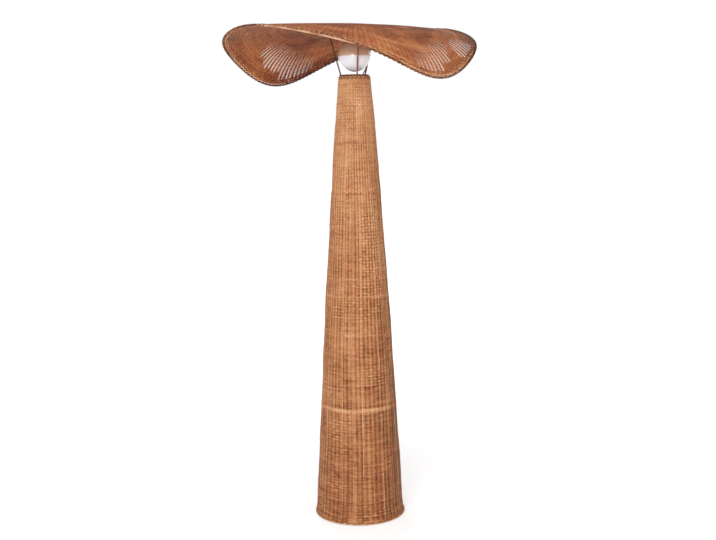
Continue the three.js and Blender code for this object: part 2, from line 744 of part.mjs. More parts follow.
function addHeadFrame() {
  const ring = wireRing((degrees) => polar(headRingRadius, degrees, headRingHeight(degrees)), ringWireRadius,
    columnFacets, wireSides);
  const eye = sleeve(eyeRadius, skirtRadius + seatGap, eyeBottomZ, eyeTopZ, roundFacets);
  const pieces = [ring, eye];
  const bores = [];
  for (const angle of Object.values(stalkAngles)) {
    const place = polar(pinCircleRadius, angle, 0);
    const post = disc(sleeveRadius, sleeveBottomZ, headRingHeight(angle), smallFacets);
    pieces.push(post.translate(place.x, place.y, 0));
    const armEnd = pinCircleRadius - sleeveBoreRadius - sleeveWall / 2;
    const armStart = (skirtRadius + seatGap + eyeRadius) / 2;
    const arm = box(armEnd - armStart, armWidth, armThickness, (armStart + armEnd) / 2, 0, eyeBottomZ);
    pieces.push(arm.rotateZ(radians(angle)));
    const bore = disc(sleeveBoreRadius, sleeveBottomZ - cutOverrun, pinTopZ + seatGap, smallFacets);
    bores.push(bore.translate(place.x, place.y, 0));
  }
  add('head_frame', cut(joined(pieces), ...bores), 'darkSteel');
}

function addLampholder() {
  const flangeRadius = holderCapRadius + holderFlangeWidth;
  const flangeTopZ = holderCapBottomZ + holderFlangeThickness;
  const innerTopZ = holderTopZ - holderCapWall;
  const cap = turned([
    [0, innerTopZ], [holderCapTopRadius - holderCapWall, innerTopZ],
    [holderBoreRadius, holderTopZ - holderShoulder], [holderBoreRadius, holderCapBottomZ],
    [flangeRadius, holderCapBottomZ], [flangeRadius, flangeTopZ], [holderCapRadius, flangeTopZ],
    [holderCapRadius, holderTopZ - holderShoulder + holderCapWall / 2], [holderCapTopRadius, holderTopZ],
    [0, holderTopZ],
  ], roundFacets);
  const leadHole = disc(leadRadius + seatGap, 0, holderCapRadius + cutOverrun, wireSides * 2);
  leadHole.rotateY(Math.PI / 2).translate(0, 0, leadZ).rotateZ(radians(leadEntryAngle));
  add('lampholder_cap', cut(cap, leadHole), 'blackPlastic');
  add('lampholder_skirt', sleeve(skirtRadius, skirtRadius - skirtWall, skirtBottomZ, skirtTopZ, roundFacets),
    'blackPlastic');
  add('lampholder_core', turned([
    [0, coreBottomZ], [coreRadius, coreBottomZ], [coreRadius, (coreBottomZ + coreTopZ) / 2],
    [holderCapTopRadius - holderCapWall, coreTopZ], [0, coreTopZ],
  ], roundFacets), 'ceramic');
  const contact = disc(contactRadius, threadTopZ - contactHeight, threadTopZ, smallFacets);
  add('lampholder_contact', contact, 'brass');
  const threadInner = capRadius + runningGap;
  add('lampholder_thread', sleeve(threadInner + threadShellWall, threadInner, threadTopZ - threadShellLength,
    threadTopZ, roundFacets), 'brass');
  const clampTopZ = eyeBottomZ - seatGap;
  const grip = [];
  for (let k = 0; k < clampRibs; k += 1) grip.push(clampRingRadius - seatGap * 2, clampRingRadius);
  const outline = new THREE.Shape(grip.map((radius, k) => {
    const turn = radians((180 * k) / clampRibs);
    return new THREE.Vector2(radius * Math.cos(turn), radius * Math.sin(turn));
  }));
  const bore = new THREE.Path();
  bore.absarc(0, 0, skirtRadius + seatGap, 0, Math.PI * 2, true);
  outline.holes.push(bore);
  const clamp = new THREE.ExtrudeGeometry(outline, {
    depth: clampRingHeight, bevelEnabled: false, curveSegments: roundFacets / 2,
  });
  add('clamp_ring', clamp.translate(0, 0, clampTopZ - clampRingHeight), 'blackPlastic');
}

function addUpperLead() {
  const plugAngle = THREE.MathUtils.radToDeg(Math.atan2(connectorPlace.y, connectorPlace.x));
  const plugReach = Math.hypot(connectorPlace.x, connectorPlace.y);
  const bend = 5 * leadRadius;
  const points = [
    polar(coreRadius + seatGap, leadEntryAngle, leadZ),
    polar(holderCapRadius + leadRadius, leadEntryAngle, leadZ),
    polar(eyeRadius + bend, leadEntryAngle, leadZ),
    polar(plugReach - bend, THREE.MathUtils.lerp(plugAngle, leadEntryAngle, leadSweepShare), leadZ),
    polar(plugReach - leadRadius, plugAngle, leadZ - leadRadius),
    new THREE.Vector3(connectorPlace.x, connectorPlace.y, plugTopZ + leadRadius),
    new THREE.Vector3(connectorPlace.x, connectorPlace.y, plugTopZ + seatGap),
  ];
  add('upper_lead', rod(points, leadRadius, bendSteps + 1, wireSides), 'brownLead');
}

function addBulb() {
  const neckTurn = Math.asin(neckRadius / globeRadius);
  const arc = (radius) => {
    const points = [];
    for (let k = 0; k <= globeSteps; k += 1) {
      const turn = THREE.MathUtils.lerp(Math.PI, neckTurn, k / globeSteps);
      points.push([k === 0 ? 0 : radius * Math.sin(turn), globeZ + radius * Math.cos(turn)]);
    }
    return points;
  };
  const shell = [...arc(globeRadius), ...arc(globeRadius - globeWall).reverse()];
  add('bulb_globe', turned(shell, roundFacets), 'opalGlass');
  add('bulb_collar', closedTurned([
    [neckRadius, collarBottomZ], [collarTopRadius, collarTopZ],
    [collarTopRadius - collarWall, collarTopZ], [neckRadius - collarWall, collarBottomZ],
  ], roundFacets), 'whitePlastic');
  const boardZ = collarBottomZ + collarWall;
  const boardClimb = (boardZ + boardThickness - collarBottomZ) / (collarTopZ - collarBottomZ);
  const boardRadius = THREE.MathUtils.lerp(neckRadius, collarTopRadius, boardClimb) - collarWall - seatGap;
  add('led_board', disc(boardRadius, boardZ, boardZ + boardThickness, roundFacets), 'whitePlastic');
  const driverZ = boardZ + boardThickness + seatGap;
  add('led_driver', disc(driverRadius, driverZ, driverZ + driverLength, smallFacets), 'blackPlastic');
  const thread = [];
  for (let k = 0; k <= capThreadCount * 2; k += 1) {
    const z = THREE.MathUtils.lerp(capBottomZ + collarWall, capTopZ - collarWall, k / (capThreadCount * 2));
    thread.push([k % 2 ? capRadius : capRadius - capThreadDepth, z]);
  }
  const throatRadius = capRadius - capThreadDepth - capWall;
  add('bulb_cap', closedTurned([
    [capRadius - capThreadDepth, capBottomZ], ...thread, [insulatorRadius, capTopZ],
    [insulatorRadius - capWall, capTopZ], [throatRadius, capTopZ - collarWall], [throatRadius, capBottomZ],
  ], roundFacets), 'zinc');
  add('bulb_insulator', disc(insulatorRadius, capTopZ + seatGap / 2, capTopZ + insulatorHeight, smallFacets),
    'blackPlastic');
  const tipBottomZ = capTopZ + insulatorHeight + seatGap / 2;
  add('bulb_contact', disc(tipRadius, tipBottomZ, tipTopZ, smallFacets), 'brass');
}

addBase();
addLugScrews();
addColumnFrame();
addColumnWeave();
addBorderAndBinding();
addStalks();
addGland();
addTerminalBox();
addColumnLead();
addTies();
addConnector();
addHeadFrame();
addLampholder();
addUpperLead();
addShade();
addBulb();

export default lamp;
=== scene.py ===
"""Looks of the rattan floor lamp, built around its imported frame.

The column, the saddle-shaped shade and their borders are woven here rod by rod. Each woven piece is a set
of oval rods carried along paths on a surface, worked out as whole arrays.
"""

import logging
import math
from collections import defaultdict
from collections.abc import Sequence
from dataclasses import dataclass, field
from enum import Enum
from typing import Any

import bmesh
import bpy
import numpy as np
from mathutils import Matrix, Vector


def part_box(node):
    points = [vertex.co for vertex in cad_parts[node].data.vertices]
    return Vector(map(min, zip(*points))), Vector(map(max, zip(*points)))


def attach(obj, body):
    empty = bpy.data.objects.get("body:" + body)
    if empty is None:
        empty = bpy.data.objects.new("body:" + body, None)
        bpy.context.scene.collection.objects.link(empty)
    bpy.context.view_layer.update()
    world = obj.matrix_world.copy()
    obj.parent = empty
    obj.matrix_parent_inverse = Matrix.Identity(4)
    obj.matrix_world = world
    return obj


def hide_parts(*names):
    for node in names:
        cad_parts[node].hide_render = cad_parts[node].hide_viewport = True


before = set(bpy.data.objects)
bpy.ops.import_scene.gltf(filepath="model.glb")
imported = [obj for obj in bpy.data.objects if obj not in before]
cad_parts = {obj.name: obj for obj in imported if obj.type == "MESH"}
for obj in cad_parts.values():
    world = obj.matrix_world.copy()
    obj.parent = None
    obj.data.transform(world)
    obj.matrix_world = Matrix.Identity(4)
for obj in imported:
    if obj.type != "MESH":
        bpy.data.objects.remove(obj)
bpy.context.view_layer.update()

Array = np.ndarray
Pair = tuple[float, float]
Tree = bpy.types.NodeTree
Socket = bpy.types.NodeSocket
MM = 0.001
TURN = 2 * math.pi
UP = np.array([0, 0, 1.0])
log = logging.getLogger("lamp")


# Small maths

def column(values: Array) -> Array:
    """Give a list of numbers the shape of one column, so that it spreads over rows."""
    return np.asarray(values, float)[:, None]


def unit(vectors: Array) -> Array:
    """Scale each vector to length one."""
    return vectors / np.linalg.norm(vectors, axis=-1, keepdims=True)


def radial(angle: Array) -> Array:
    """Unit vectors that point away from the Z axis at these angles."""
    return np.stack([np.cos(angle), np.sin(angle), np.zeros_like(angle)], axis=-1)


def round_turn(count: int) -> Array:
    """Angles of so many places, spread evenly over one turn."""
    return TURN * np.arange(count) / count


def clamp(values: Array) -> Array:
    """Keep values between 0 and 1."""
    return np.clip(values, 0, 1)


def alternate(numbers: Array) -> Array:
    """One for each even number and minus one for each odd one."""
    return np.where(numbers % 2 == 0, 1.0, -1.0)


def weaving(stakes: int, number: Array) -> tuple[Array, Array]:
    """Follow woven rows over and under stakes, at two places on each stake and one before the next.

    Args:
        stakes: How many stakes stand round the axis.
        number: The rows' numbers, as a column.

    Returns:
        The directions, and the side of the stakes there: 1 over, -1 under and 0 between.
    """
    crossing = (column(np.arange(stakes)) + np.array([-0.25, 0.25, 0.5])).ravel()
    side = np.clip(1.6 * np.cos(math.pi * crossing), -1, 1)
    return TURN * crossing / stakes, side * alternate(number)


def ripples(angle: Array, z: Array, *waves: tuple[float, int, int, float]) -> Array:
    """Sum slow waves, each given by its size, waves in a turn, radians in a metre of height and phase."""
    return sum(size * np.sin(round_it * angle + up_it * z + phase) for size, round_it, up_it, phase in waves)


def value_noise(x: Array, y: Array | float, seed: int, around: int = 256) -> Array:
    """Smooth noise: random numbers on whole-number corners, blended with a cubic between them.

    Args:
        x: First coordinate; the pattern repeats after `around` units.
        y: Second coordinate; it repeats after 512 units.
        seed: Picks the pattern.
        around: Number of cells along x.

    Returns:
        Values from -1 to 1, in the shape that x and y broadcast to.
    """
    corners = np.random.default_rng(seed).uniform(-1, 1, (around, 512))
    left, low = np.floor(x).astype(int), np.floor(y).astype(int)
    across, up = (way ** 2 * (3 - 2 * way) for way in (x - left, y - low))
    near, far = left % around, (left + 1) % around
    below, above = low % 512, (low + 1) % 512
    bottom = corners[near, below] * (1 - across) + corners[far, below] * across
    top = corners[near, above] * (1 - across) + corners[far, above] * across
    return bottom * (1 - up) + top * up


@dataclass(frozen=True)
class Drift:
    """Smooth noise round the axis: cells in a turn, length of a cell the other way, pattern, strength."""

    cells: int
    length: float
    seed: int
    strength: float

    def at(self, angle: Array, along: Array | float) -> Array:
        """Its values at these angles and these places the other way."""
        around = angle / TURN * self.cells
        return self.strength * value_noise(around, along / self.length, self.seed, self.cells)


# Materials

def linear(hex_colour: str) -> tuple[float, ...]:
    """Turn an sRGB hex colour into the linear colour that shaders work in."""
    parts = [int(hex_colour[i:i + 2], 16) / 255 for i in (1, 3, 5)]
    lin = [c / 12.92 if c <= 0.04045 else ((c + 0.055) / 1.055) ** 2.4 for c in parts]
    return (*lin, 1.0)


def fill(tree: Tree, node: bpy.types.Node, sockets: dict[Any, Any]) -> None:
    """Give each input of a node, by its name or place, a value or a link from another node's output."""
    for name, value in sockets.items():
        if isinstance(value, Socket):
            tree.links.new(value, node.inputs[name])
        else:
            node.inputs[name].default_value = value


def add_node(tree: Tree, kind: str, sockets: dict[Any, Any] | None = None,
             **settings: Any) -> bpy.types.Node:
    """Add a shader node with its settings, and fill or link its inputs.

    Args:
        tree: The node tree that gets the node.
        kind: The node's type name.
        sockets: What fill puts into its inputs.
        settings: The node's own properties.

    Returns:
        The new node.
    """
    made = tree.nodes.new(kind)
    for name, value in settings.items():
        setattr(made, name, value)
    fill(tree, made, sockets or {})
    return made


def maths(tree: Tree, operation: str, *values: Socket | float) -> Socket:
    """Work out one sum from outputs or numbers."""
    return add_node(tree, "ShaderNodeMath", dict(enumerate(values)), operation=operation).outputs[0]


def noise(tree: Tree, vector: Socket, size_mm: float, detail: float) -> Socket:
    """Noise with grains of a real size and so many finer layers."""
    return add_node(tree, "ShaderNodeTexNoise", {
        "Vector": vector, "Scale": 1 / (size_mm * MM), "Detail": detail,
    }).outputs["Fac"]


def remap(tree: Tree, value: Socket, before: Sequence[float], after: Sequence[float]) -> Socket:
    """Carry a value from one range to another and keep it inside."""
    return add_node(tree, "ShaderNodeMapRange", {
        "Value": value, "From Min": before[0], "From Max": before[1], "To Min": after[0], "To Max": after[1],
    }).outputs["Result"]


def relief(tree: Tree, height: Socket, strength: float, depth_mm: float) -> Socket:
    """Turn a pattern into relief of a real depth."""
    return add_node(tree, "ShaderNodeBump", {
        "Height": height, "Strength": strength, "Distance": depth_mm * MM,
    }).outputs["Normal"]


def blend(tree: Tree, value: Socket, places: Sequence[float], shades: Sequence[str]) -> Socket:
    """Run through hex colours as a value climbs from 0 to 1, each at its place."""
    ramp = add_node(tree, "ShaderNodeValToRGB", {"Fac": value})
    stops = ramp.color_ramp.elements
    for place in places[1:-1]:
        stops.new(place)
    for stop, shade in zip(stops, shades):
        stop.color = linear(shade)
    return ramp.outputs["Color"]


def object_place(tree: Tree) -> Socket:
    """The place on the object, in metres."""
    return add_node(tree, "ShaderNodeTexCoord").outputs["Object"]


def blank_material(name: str) -> tuple[bpy.types.Material, Tree, bpy.types.Node]:
    """Make a material with only a Principled shader and its output; give it, its tree and the shader."""
    material = bpy.data.materials.new(name)
    material.use_nodes = True
    tree = material.node_tree
    tree.nodes.clear()
    shader = add_node(tree, "ShaderNodeBsdfPrincipled")
    add_node(tree, "ShaderNodeOutputMaterial", {"Surface": shader.outputs[0]})
    return material, tree, shader


@dataclass(frozen=True)
class Rattan:
    """Rattan, split or peeled and woven: satin straw colours that drift along each rod, with fine fibres."""

    name: str
    shades: tuple[str, ...]
    roughness: float = 0.58
    specular: float = 0.26
    fibre_mm: float = 0.5
    fibre_length_mm: float = 24.0
    fibre_depth_mm: float = 0.12
    fibre_share: float = 0.30
    mottle_mm: float = 9.0
    mottle_share: float = 0.26
    drift_mm: float = 38.0
    hue_drift: float = 0.004

    def material(self) -> bpy.types.Material:
        """Dress rods by their tone attribute, with fibres along the strand map and a slow mottle."""
        material, tree, shader = blank_material(self.name)
        place = object_place(tree)
        stretch = add_node(tree, "ShaderNodeMapping", {
            "Vector": add_node(tree, "ShaderNodeUVMap", uv_map="strand").outputs["UV"],
            "Scale": (1 / (self.fibre_length_mm * MM), 1 / (self.fibre_mm * MM), 1),
        })
        fibre = noise(tree, stretch.outputs["Vector"], 1 / MM, 2.0)
        tone = add_node(tree, "ShaderNodeAttribute", attribute_name="tone").outputs["Fac"]
        fibred = maths(tree, "MULTIPLY_ADD", fibre, self.fibre_share, tone)
        mottle = noise(tree, place, self.mottle_mm, 3.0)
        mottled = maths(tree, "MULTIPLY_ADD", mottle, self.mottle_share, fibred)
        centred = maths(tree, "SUBTRACT", mottled, (self.fibre_share + self.mottle_share) / 2)
        drift = noise(tree, place, self.drift_mm, 2.0)
        hued = add_node(tree, "ShaderNodeHueSaturation", {
            "Hue": remap(tree, drift, (0.35, 0.65), (0.5 - self.hue_drift, 0.5 + self.hue_drift)),
            "Color": blend(tree, centred, np.linspace(0, 1, len(self.shades)), self.shades),
        })
        fill(tree, shader, {
            "Base Color": hued.outputs["Color"],
            "Normal": relief(tree, fibre, 0.5, self.fibre_depth_mm),
            "Roughness": self.roughness,
            "Specular IOR Level": self.specular,
        })
        return material


class Grain(Enum):
    """How a hard surface was finished, as the kind of small relief that it shows."""

    SPRAYED = "sprayed"
    MOULDED = "moulded"
    DRAWN = "drawn"
    PRESSED = "pressed"


@dataclass(frozen=True)
class Hard:
    """A hard, even surface: lacquer, plastic, metal or glaze, with fine relief and slight stains."""

    name: str
    colour: str
    worn: str
    roughness: float
    grain: Grain
    grain_mm: float
    depth_mm: float = 0.03
    metallic: float = 0.0
    coat: float = 0.0
    specular: float = 0.5
    patch_mm: float = 14.0
    unevenness: float = 0.08

    def material(self) -> bpy.types.Material:
        """Mix the colour with its worn shade in slow patches, and roughen it with its own grain."""
        material, tree, shader = blank_material(self.name)
        place = object_place(tree)
        long_way = 12.0 if self.grain is Grain.DRAWN else 1.0
        grid = add_node(tree, "ShaderNodeMapping", {"Vector": place, "Scale": (1.0, 1.0, 1 / long_way)})
        detail = 6.0 if self.grain is Grain.PRESSED else 2.0
        grain = noise(tree, grid.outputs["Vector"], self.grain_mm, detail)
        stains = remap(tree, noise(tree, place, self.patch_mm, 4.0), (0.45, 0.75), (0, 1))
        colour = add_node(tree, "ShaderNodeMix", {
            "Factor": stains, 6: linear(self.colour), 7: linear(self.worn),
        }, data_type="RGBA")
        smoothest = max(self.roughness - self.unevenness, 0.02)
        fill(tree, shader, {
            "Base Color": colour.outputs[2],
            "Roughness": remap(tree, grain, (0, 1), (smoothest, self.roughness + self.unevenness)),
            "Normal": relief(tree, grain, 0.4, self.depth_mm),
            "Metallic": self.metallic,
            "Coat Weight": self.coat,
            "Specular IOR Level": self.specular,
        })
        return material


@dataclass(frozen=True)
class OpalGlass:
    """Blown opal glass under a clear, glossy skin: milky white below, painted tan above a level.

    The tan is a painted reflection and painted shade of the shade's brown underside; the faint glow is
    painted light for room light that the glass scatters through itself.
    """

    name: str = "blown_opal_glass"
    milk: str = "#f1eef4"
    # Painted reflection and painted shade: the tans stand in for the shade's brown underside seen in and
    # over the glass.
    painted_tan: str = "#d2ab93"
    painted_deep_tan: str = "#b58a72"
    painted_tan_from: float = 0.0
    painted_tan_reach: float = 50 * MM
    painted_tan_edge: float = 0.06
    waviness_mm: float = 30.0
    wave_depth_mm: float = 0.2
    # Painted light: a faint glow standing in for room light through the glass.
    painted_glow: float = 0.10

    def material(self) -> bpy.types.Material:
        """Milk white that turns to a painted tan of reflection and shade over a few millimetres, with the
        faint waves of blown glass.
        """
        material, tree, shader = blank_material(self.name)
        place = object_place(tree)
        height = add_node(tree, "ShaderNodeSeparateXYZ", {0: place}).outputs["Z"]
        # Painted reflection and shade: tan above the level.
        climb = remap(tree, height, (self.painted_tan_from, self.painted_tan_from + self.painted_tan_reach), (0, 1))
        colour = blend(tree, climb, (0, self.painted_tan_edge, 1), (self.milk, self.painted_tan, self.painted_deep_tan))
        waves = noise(tree, place, self.waviness_mm, 1.0)
        fill(tree, shader, {
            "Base Color": colour,
            # Painted light: a faint glow in the glass's colour.
            "Emission Color": colour,
            "Emission Strength": self.painted_glow,
            "Roughness": 0.25,
            "Coat Weight": 0.5,
            "Coat Roughness": 0.12,
            "Coat Normal": relief(tree, waves, 0.1, self.wave_depth_mm),
        })
        return material


# Peeled core, woven: the column's straw and honey browns
CORE = Rattan("woven_rattan_core", ("#4a2816", "#9e5e38", "#cf905f", "#e6b386", "#f6d8b2"))
# Peeled core on the shade: redder, darker browns that come from its stain
SHADE_CORE = Rattan("woven_rattan_stained", ("#3d1c0a", "#8b4824", "#bf7444", "#dc9c68", "#eec290"))
# Split cane, skin side out: a paler, shinier straw for the cane along the rim's front and a stalk's wrap
CANE = Rattan("split_cane", ("#6a4029", "#a87454", "#cf9f7c", "#e6c0a0", "#f4dcc2"), roughness=0.45)
# Cane under red-brown stain: the rim's plait, the bound rows and the foot's twisted pair
STAINED_CANE = Rattan("stained_cane", ("#42200f", "#85492a", "#b37349", "#cf996d", "#e6c096"), roughness=0.5)
# Round wire under brown lacquer: near black, a soft gleam along its length
LACQUER = Hard("brown_lacquered_wire", "#563a29", "#6b4b36", 0.6, Grain.DRAWN, 0.8, specular=0.25)
# Weight cut from plate and painted: black with a light orange peel
PAINT = Hard("black_painted_plate", "#232222", "#33302e", 0.5, Grain.SPRAYED, 1.2)
# Zinc plating: cool bright grey, slightly cloudy
ZINC = Hard("zinc_plating", "#b9bcc0", "#9fa3a8", 0.34, Grain.SPRAYED, 0.6, depth_mm=0.01, metallic=1.0)
# Stamped brass: warm yellow with duller patches
BRASS = Hard("stamped_brass", "#c9a557", "#a8843f", 0.3, Grain.DRAWN, 0.5, depth_mm=0.01, metallic=1.0)
# Phenolic moulding: soft black with a fine spark-eroded grain
MOULDING = Hard("black_phenolic", "#1f1e1d", "#2a2827", 0.46, Grain.MOULDED, 0.5)
# Polycarbonate: warm white satin moulding
WHITE_MOULDING = Hard("white_polycarbonate", "#e8e5de", "#dcd8cf", 0.4, Grain.MOULDED, 0.6)
# Soft brown PVC sheath of the lead: satin with faint drag marks
SHEATH = Hard("brown_pvc_sheath", "#3c2a1f", "#4b372a", 0.5, Grain.DRAWN, 0.7)
# Glazed steatite: off-white and glossy
GLAZE = Hard("glazed_steatite", "#ece7dc", "#ddd6c8", 0.2, Grain.SPRAYED, 1.5, coat=0.6)
# Pressed wool felt: dark grey with a loose nap
FELT = Hard("pressed_felt", "#2d2b29", "#3a3735", 0.95, Grain.PRESSED, 0.9, depth_mm=0.4)


def shared_material(finish: Any) -> bpy.types.Material:
    """Give the one material of a finish, made the first time that it is asked for."""
    return bpy.data.materials.get(finish.name) or finish.material()


# Meshes

def add_object(name: str, data: bpy.types.ID) -> bpy.types.Object:
    """Put a new object into the scene."""
    added = bpy.data.objects.new(name, data)
    bpy.context.scene.collection.objects.link(added)
    return added


def settle(mesh: bpy.types.Mesh, name: str, finish: Any, body: str, nodes: tuple[str, ...]) -> None:
    """Put a finished mesh into the scene, dress it and set it on its body.

    Args:
        mesh: The mesh, in its place in the row frame.
        name: The piece's name.
        finish: Its finish, with a material method.
        body: The body that it moves with.
        nodes: The frame's nodes that it stands for.
    """
    piece = add_object(name, mesh)
    mesh.materials.append(shared_material(finish))
    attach(piece, body)
    if nodes:
        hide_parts(*nodes)
    mesh.calc_loop_triangles()
    log.info("%s: %d triangles", name, len(mesh.loop_triangles))


@dataclass
class Basketwork:
    """Rods of oval section gathered into one mesh, each with a tone and a strand map of its own."""

    parts: dict[str, list[Array]] = field(default_factory=lambda: defaultdict(list))
    count: int = 0
    map_shift: float = 0.7137

    def keep(self, **arrays: Array) -> None:
        """Add to the mesh's arrays, each under its name."""
        for name, values in arrays.items():
            self.parts[name].append(values)

    def lay(self, centres: Array, across: Array, out: Array, size: Sequence[Array | float],
            tone: Array | float, sides: int = 6, closed: bool = False) -> "Basketwork":
        """Add rods: an ellipse carried along each path.

        A corner is centre + cos(a) * width * across + sin(a) * thickness * out, and across x out points
        along the path, so that the faces look outwards.

        Args:
            centres: Paths, as an array of rods by rings by three.
            across: Unit vectors along the section's width, for each ring.
            out: Unit vectors along its thickness.
            size: Half width and half thickness.
            tone: Colour values from 0, dark, to 1, pale.
            sides: Corners of the section.
            closed: Whether each path joins its own start.

        Returns:
            This mesh in the making.
        """
        rods, rings = grid = centres.shape[:2]
        turn = round_turn(sides)
        wide, thick = (np.broadcast_to(half, grid)[..., None, None] for half in size)
        across, out = (np.broadcast_to(v, centres.shape)[:, :, None] for v in (across, out))
        ellipse = wide * np.cos(turn)[:, None] * across, thick * np.sin(turn)[:, None] * out
        corners = centres[:, :, None] + ellipse[0] + ellipse[1]
        index = self.count + np.arange(rods * rings * sides).reshape(rods, rings, sides)
        spans = np.linalg.norm(np.diff(centres, axis=1, append=centres[:, :1]), axis=-1)
        begin = np.cumsum(spans, axis=1) - spans
        begin += np.arange(rods)[:, None] * self.map_shift + self.count * MM
        start, follow = index, np.roll(index, -1, 1)
        if not closed:
            start, follow, begin, spans = (v[:, :-1] for v in (start, follow, begin, spans))
        quads = np.stack([start, np.roll(start, -1, 2), np.roll(follow, -1, 2), follow], -1)
        girth = math.pi * float(sum(np.mean(half) for half in size))
        shape = begin.shape + (sides,)
        first, last = (np.broadcast_to(v[..., None], shape) for v in (begin, begin + spans))
        lower, upper = (np.broadcast_to(girth * (np.arange(sides) + k) / sides, shape) for k in (0, 1))
        maps = np.stack([first, lower, first, upper, last, upper, last, lower], -1)
        tones = np.broadcast_to(np.broadcast_to(tone, grid)[..., None], grid + (sides,))
        self.keep(points=corners.reshape(-1, 3), tones=tones.ravel(), quads=quads.ravel(),
                  quad_sizes=np.full(quads.size // 4, 4), maps=maps.reshape(-1, 2))
        if not closed:
            ends = np.concatenate([index[:, 0, ::-1], index[:, -1]])
            flat = np.stack([np.cos(turn), np.sin(turn)], -1) * girth / TURN
            self.keep(caps=ends.ravel(), cap_sizes=np.full(2 * rods, sides),
                      cap_maps=np.tile(flat, (2 * rods, 1)))
        self.count += rods * rings * sides
        return self

    def wind(self, middle: Array, across: Array, out: Array, side: Array, rise: Array,
             size: Sequence[float], tone: Array, sides: int = 6) -> "Basketwork":
        """Add closed strands that wind about one closed path; the rest is as for lay.

        Args:
            middle: The path's points.
            side: Each strand's distance from the path along `across`, point by point.
            rise: Its distance along `out`.

        Returns:
            This mesh in the making.
        """
        centres = middle + side[..., None] * across + rise[..., None] * out
        return self.lay(centres, across, out, size, tone, sides, closed=True)

    def build(self, name: str, finish: Rattan | Hard, body: str, *nodes: str, slot: str) -> None:
        """Make the mesh object, dress it and set it on its body, as settle says."""
        points, tones, loops, sizes, uv = (
            np.concatenate([array for key in keys.split() for array in self.parts[key]])
            for keys in ("points", "tones", "quads caps", "quad_sizes cap_sizes", "maps cap_maps")
        )
        mesh = bpy.data.meshes.new(name)
        mesh.vertices.add(len(points))
        mesh.vertices.foreach_set("co", points.astype(np.float32).ravel())
        mesh.loops.add(len(loops))
        mesh.loops.foreach_set("vertex_index", loops.astype(np.int32))
        mesh.polygons.add(len(sizes))
        mesh.polygons.foreach_set("loop_start", (np.cumsum(sizes) - sizes).astype(np.int32))
        mesh.polygons.foreach_set("use_smooth", np.ones(len(sizes), bool))
        mesh.uv_layers.new(name="strand").data.foreach_set("uv", uv.astype(np.float32).ravel())
        mesh.attributes.new("tone", "FLOAT", "POINT").data.foreach_set("value", tones.astype(np.float32))
        mesh.update(calc_edges=True)
        settle(mesh, name, finish, body, nodes)


def turned(profile: Array, name: str, steps: int) -> bpy.types.Mesh:
    """Turn a profile that starts and ends on the Z axis into a closed, smooth mesh.

    Args:
        profile: Radius and height pairs.
        name: The mesh's name.
        steps: Facets round the axis.

    Returns:
        The mesh, with its faces outwards.
    """
    points = profile[:, None, :1] * radial(round_turn(steps)) + UP * profile[:, None, 1:]
    index = np.arange(len(profile) * steps).reshape(len(profile), steps)
    beside = np.roll(index, -1, 1)
    quads = np.stack([index[:-1], beside[:-1], beside[1:], index[1:]], -1).reshape(-1, 4)
    mesh = bpy.data.meshes.new(name)
    mesh.from_pydata(points.reshape(-1, 3).tolist(), [], quads.tolist())
    sheet = bmesh.new()
    sheet.from_mesh(mesh)
    bmesh.ops.remove_doubles(sheet, verts=sheet.verts, dist=0.001 * MM)
    bmesh.ops.recalc_face_normals(sheet, faces=sheet.faces)
    sheet.to_mesh(mesh)
    sheet.free()
    mesh.shade_smooth()
    return mesh


# The woven column

@dataclass(frozen=True)
class Row:
    """A level where the column's weave changes: height, half height, tone and how far it stands out."""

    z_mm: float
    half_mm: float
    tone: float
    proud_mm: float = 0.0

    def near(self, z: Array) -> Array:
        """One at the level, falling to nothing at its half height."""
        return clamp(1.5 - 1.5 * np.abs(z / MM - self.z_mm) / self.half_mm)


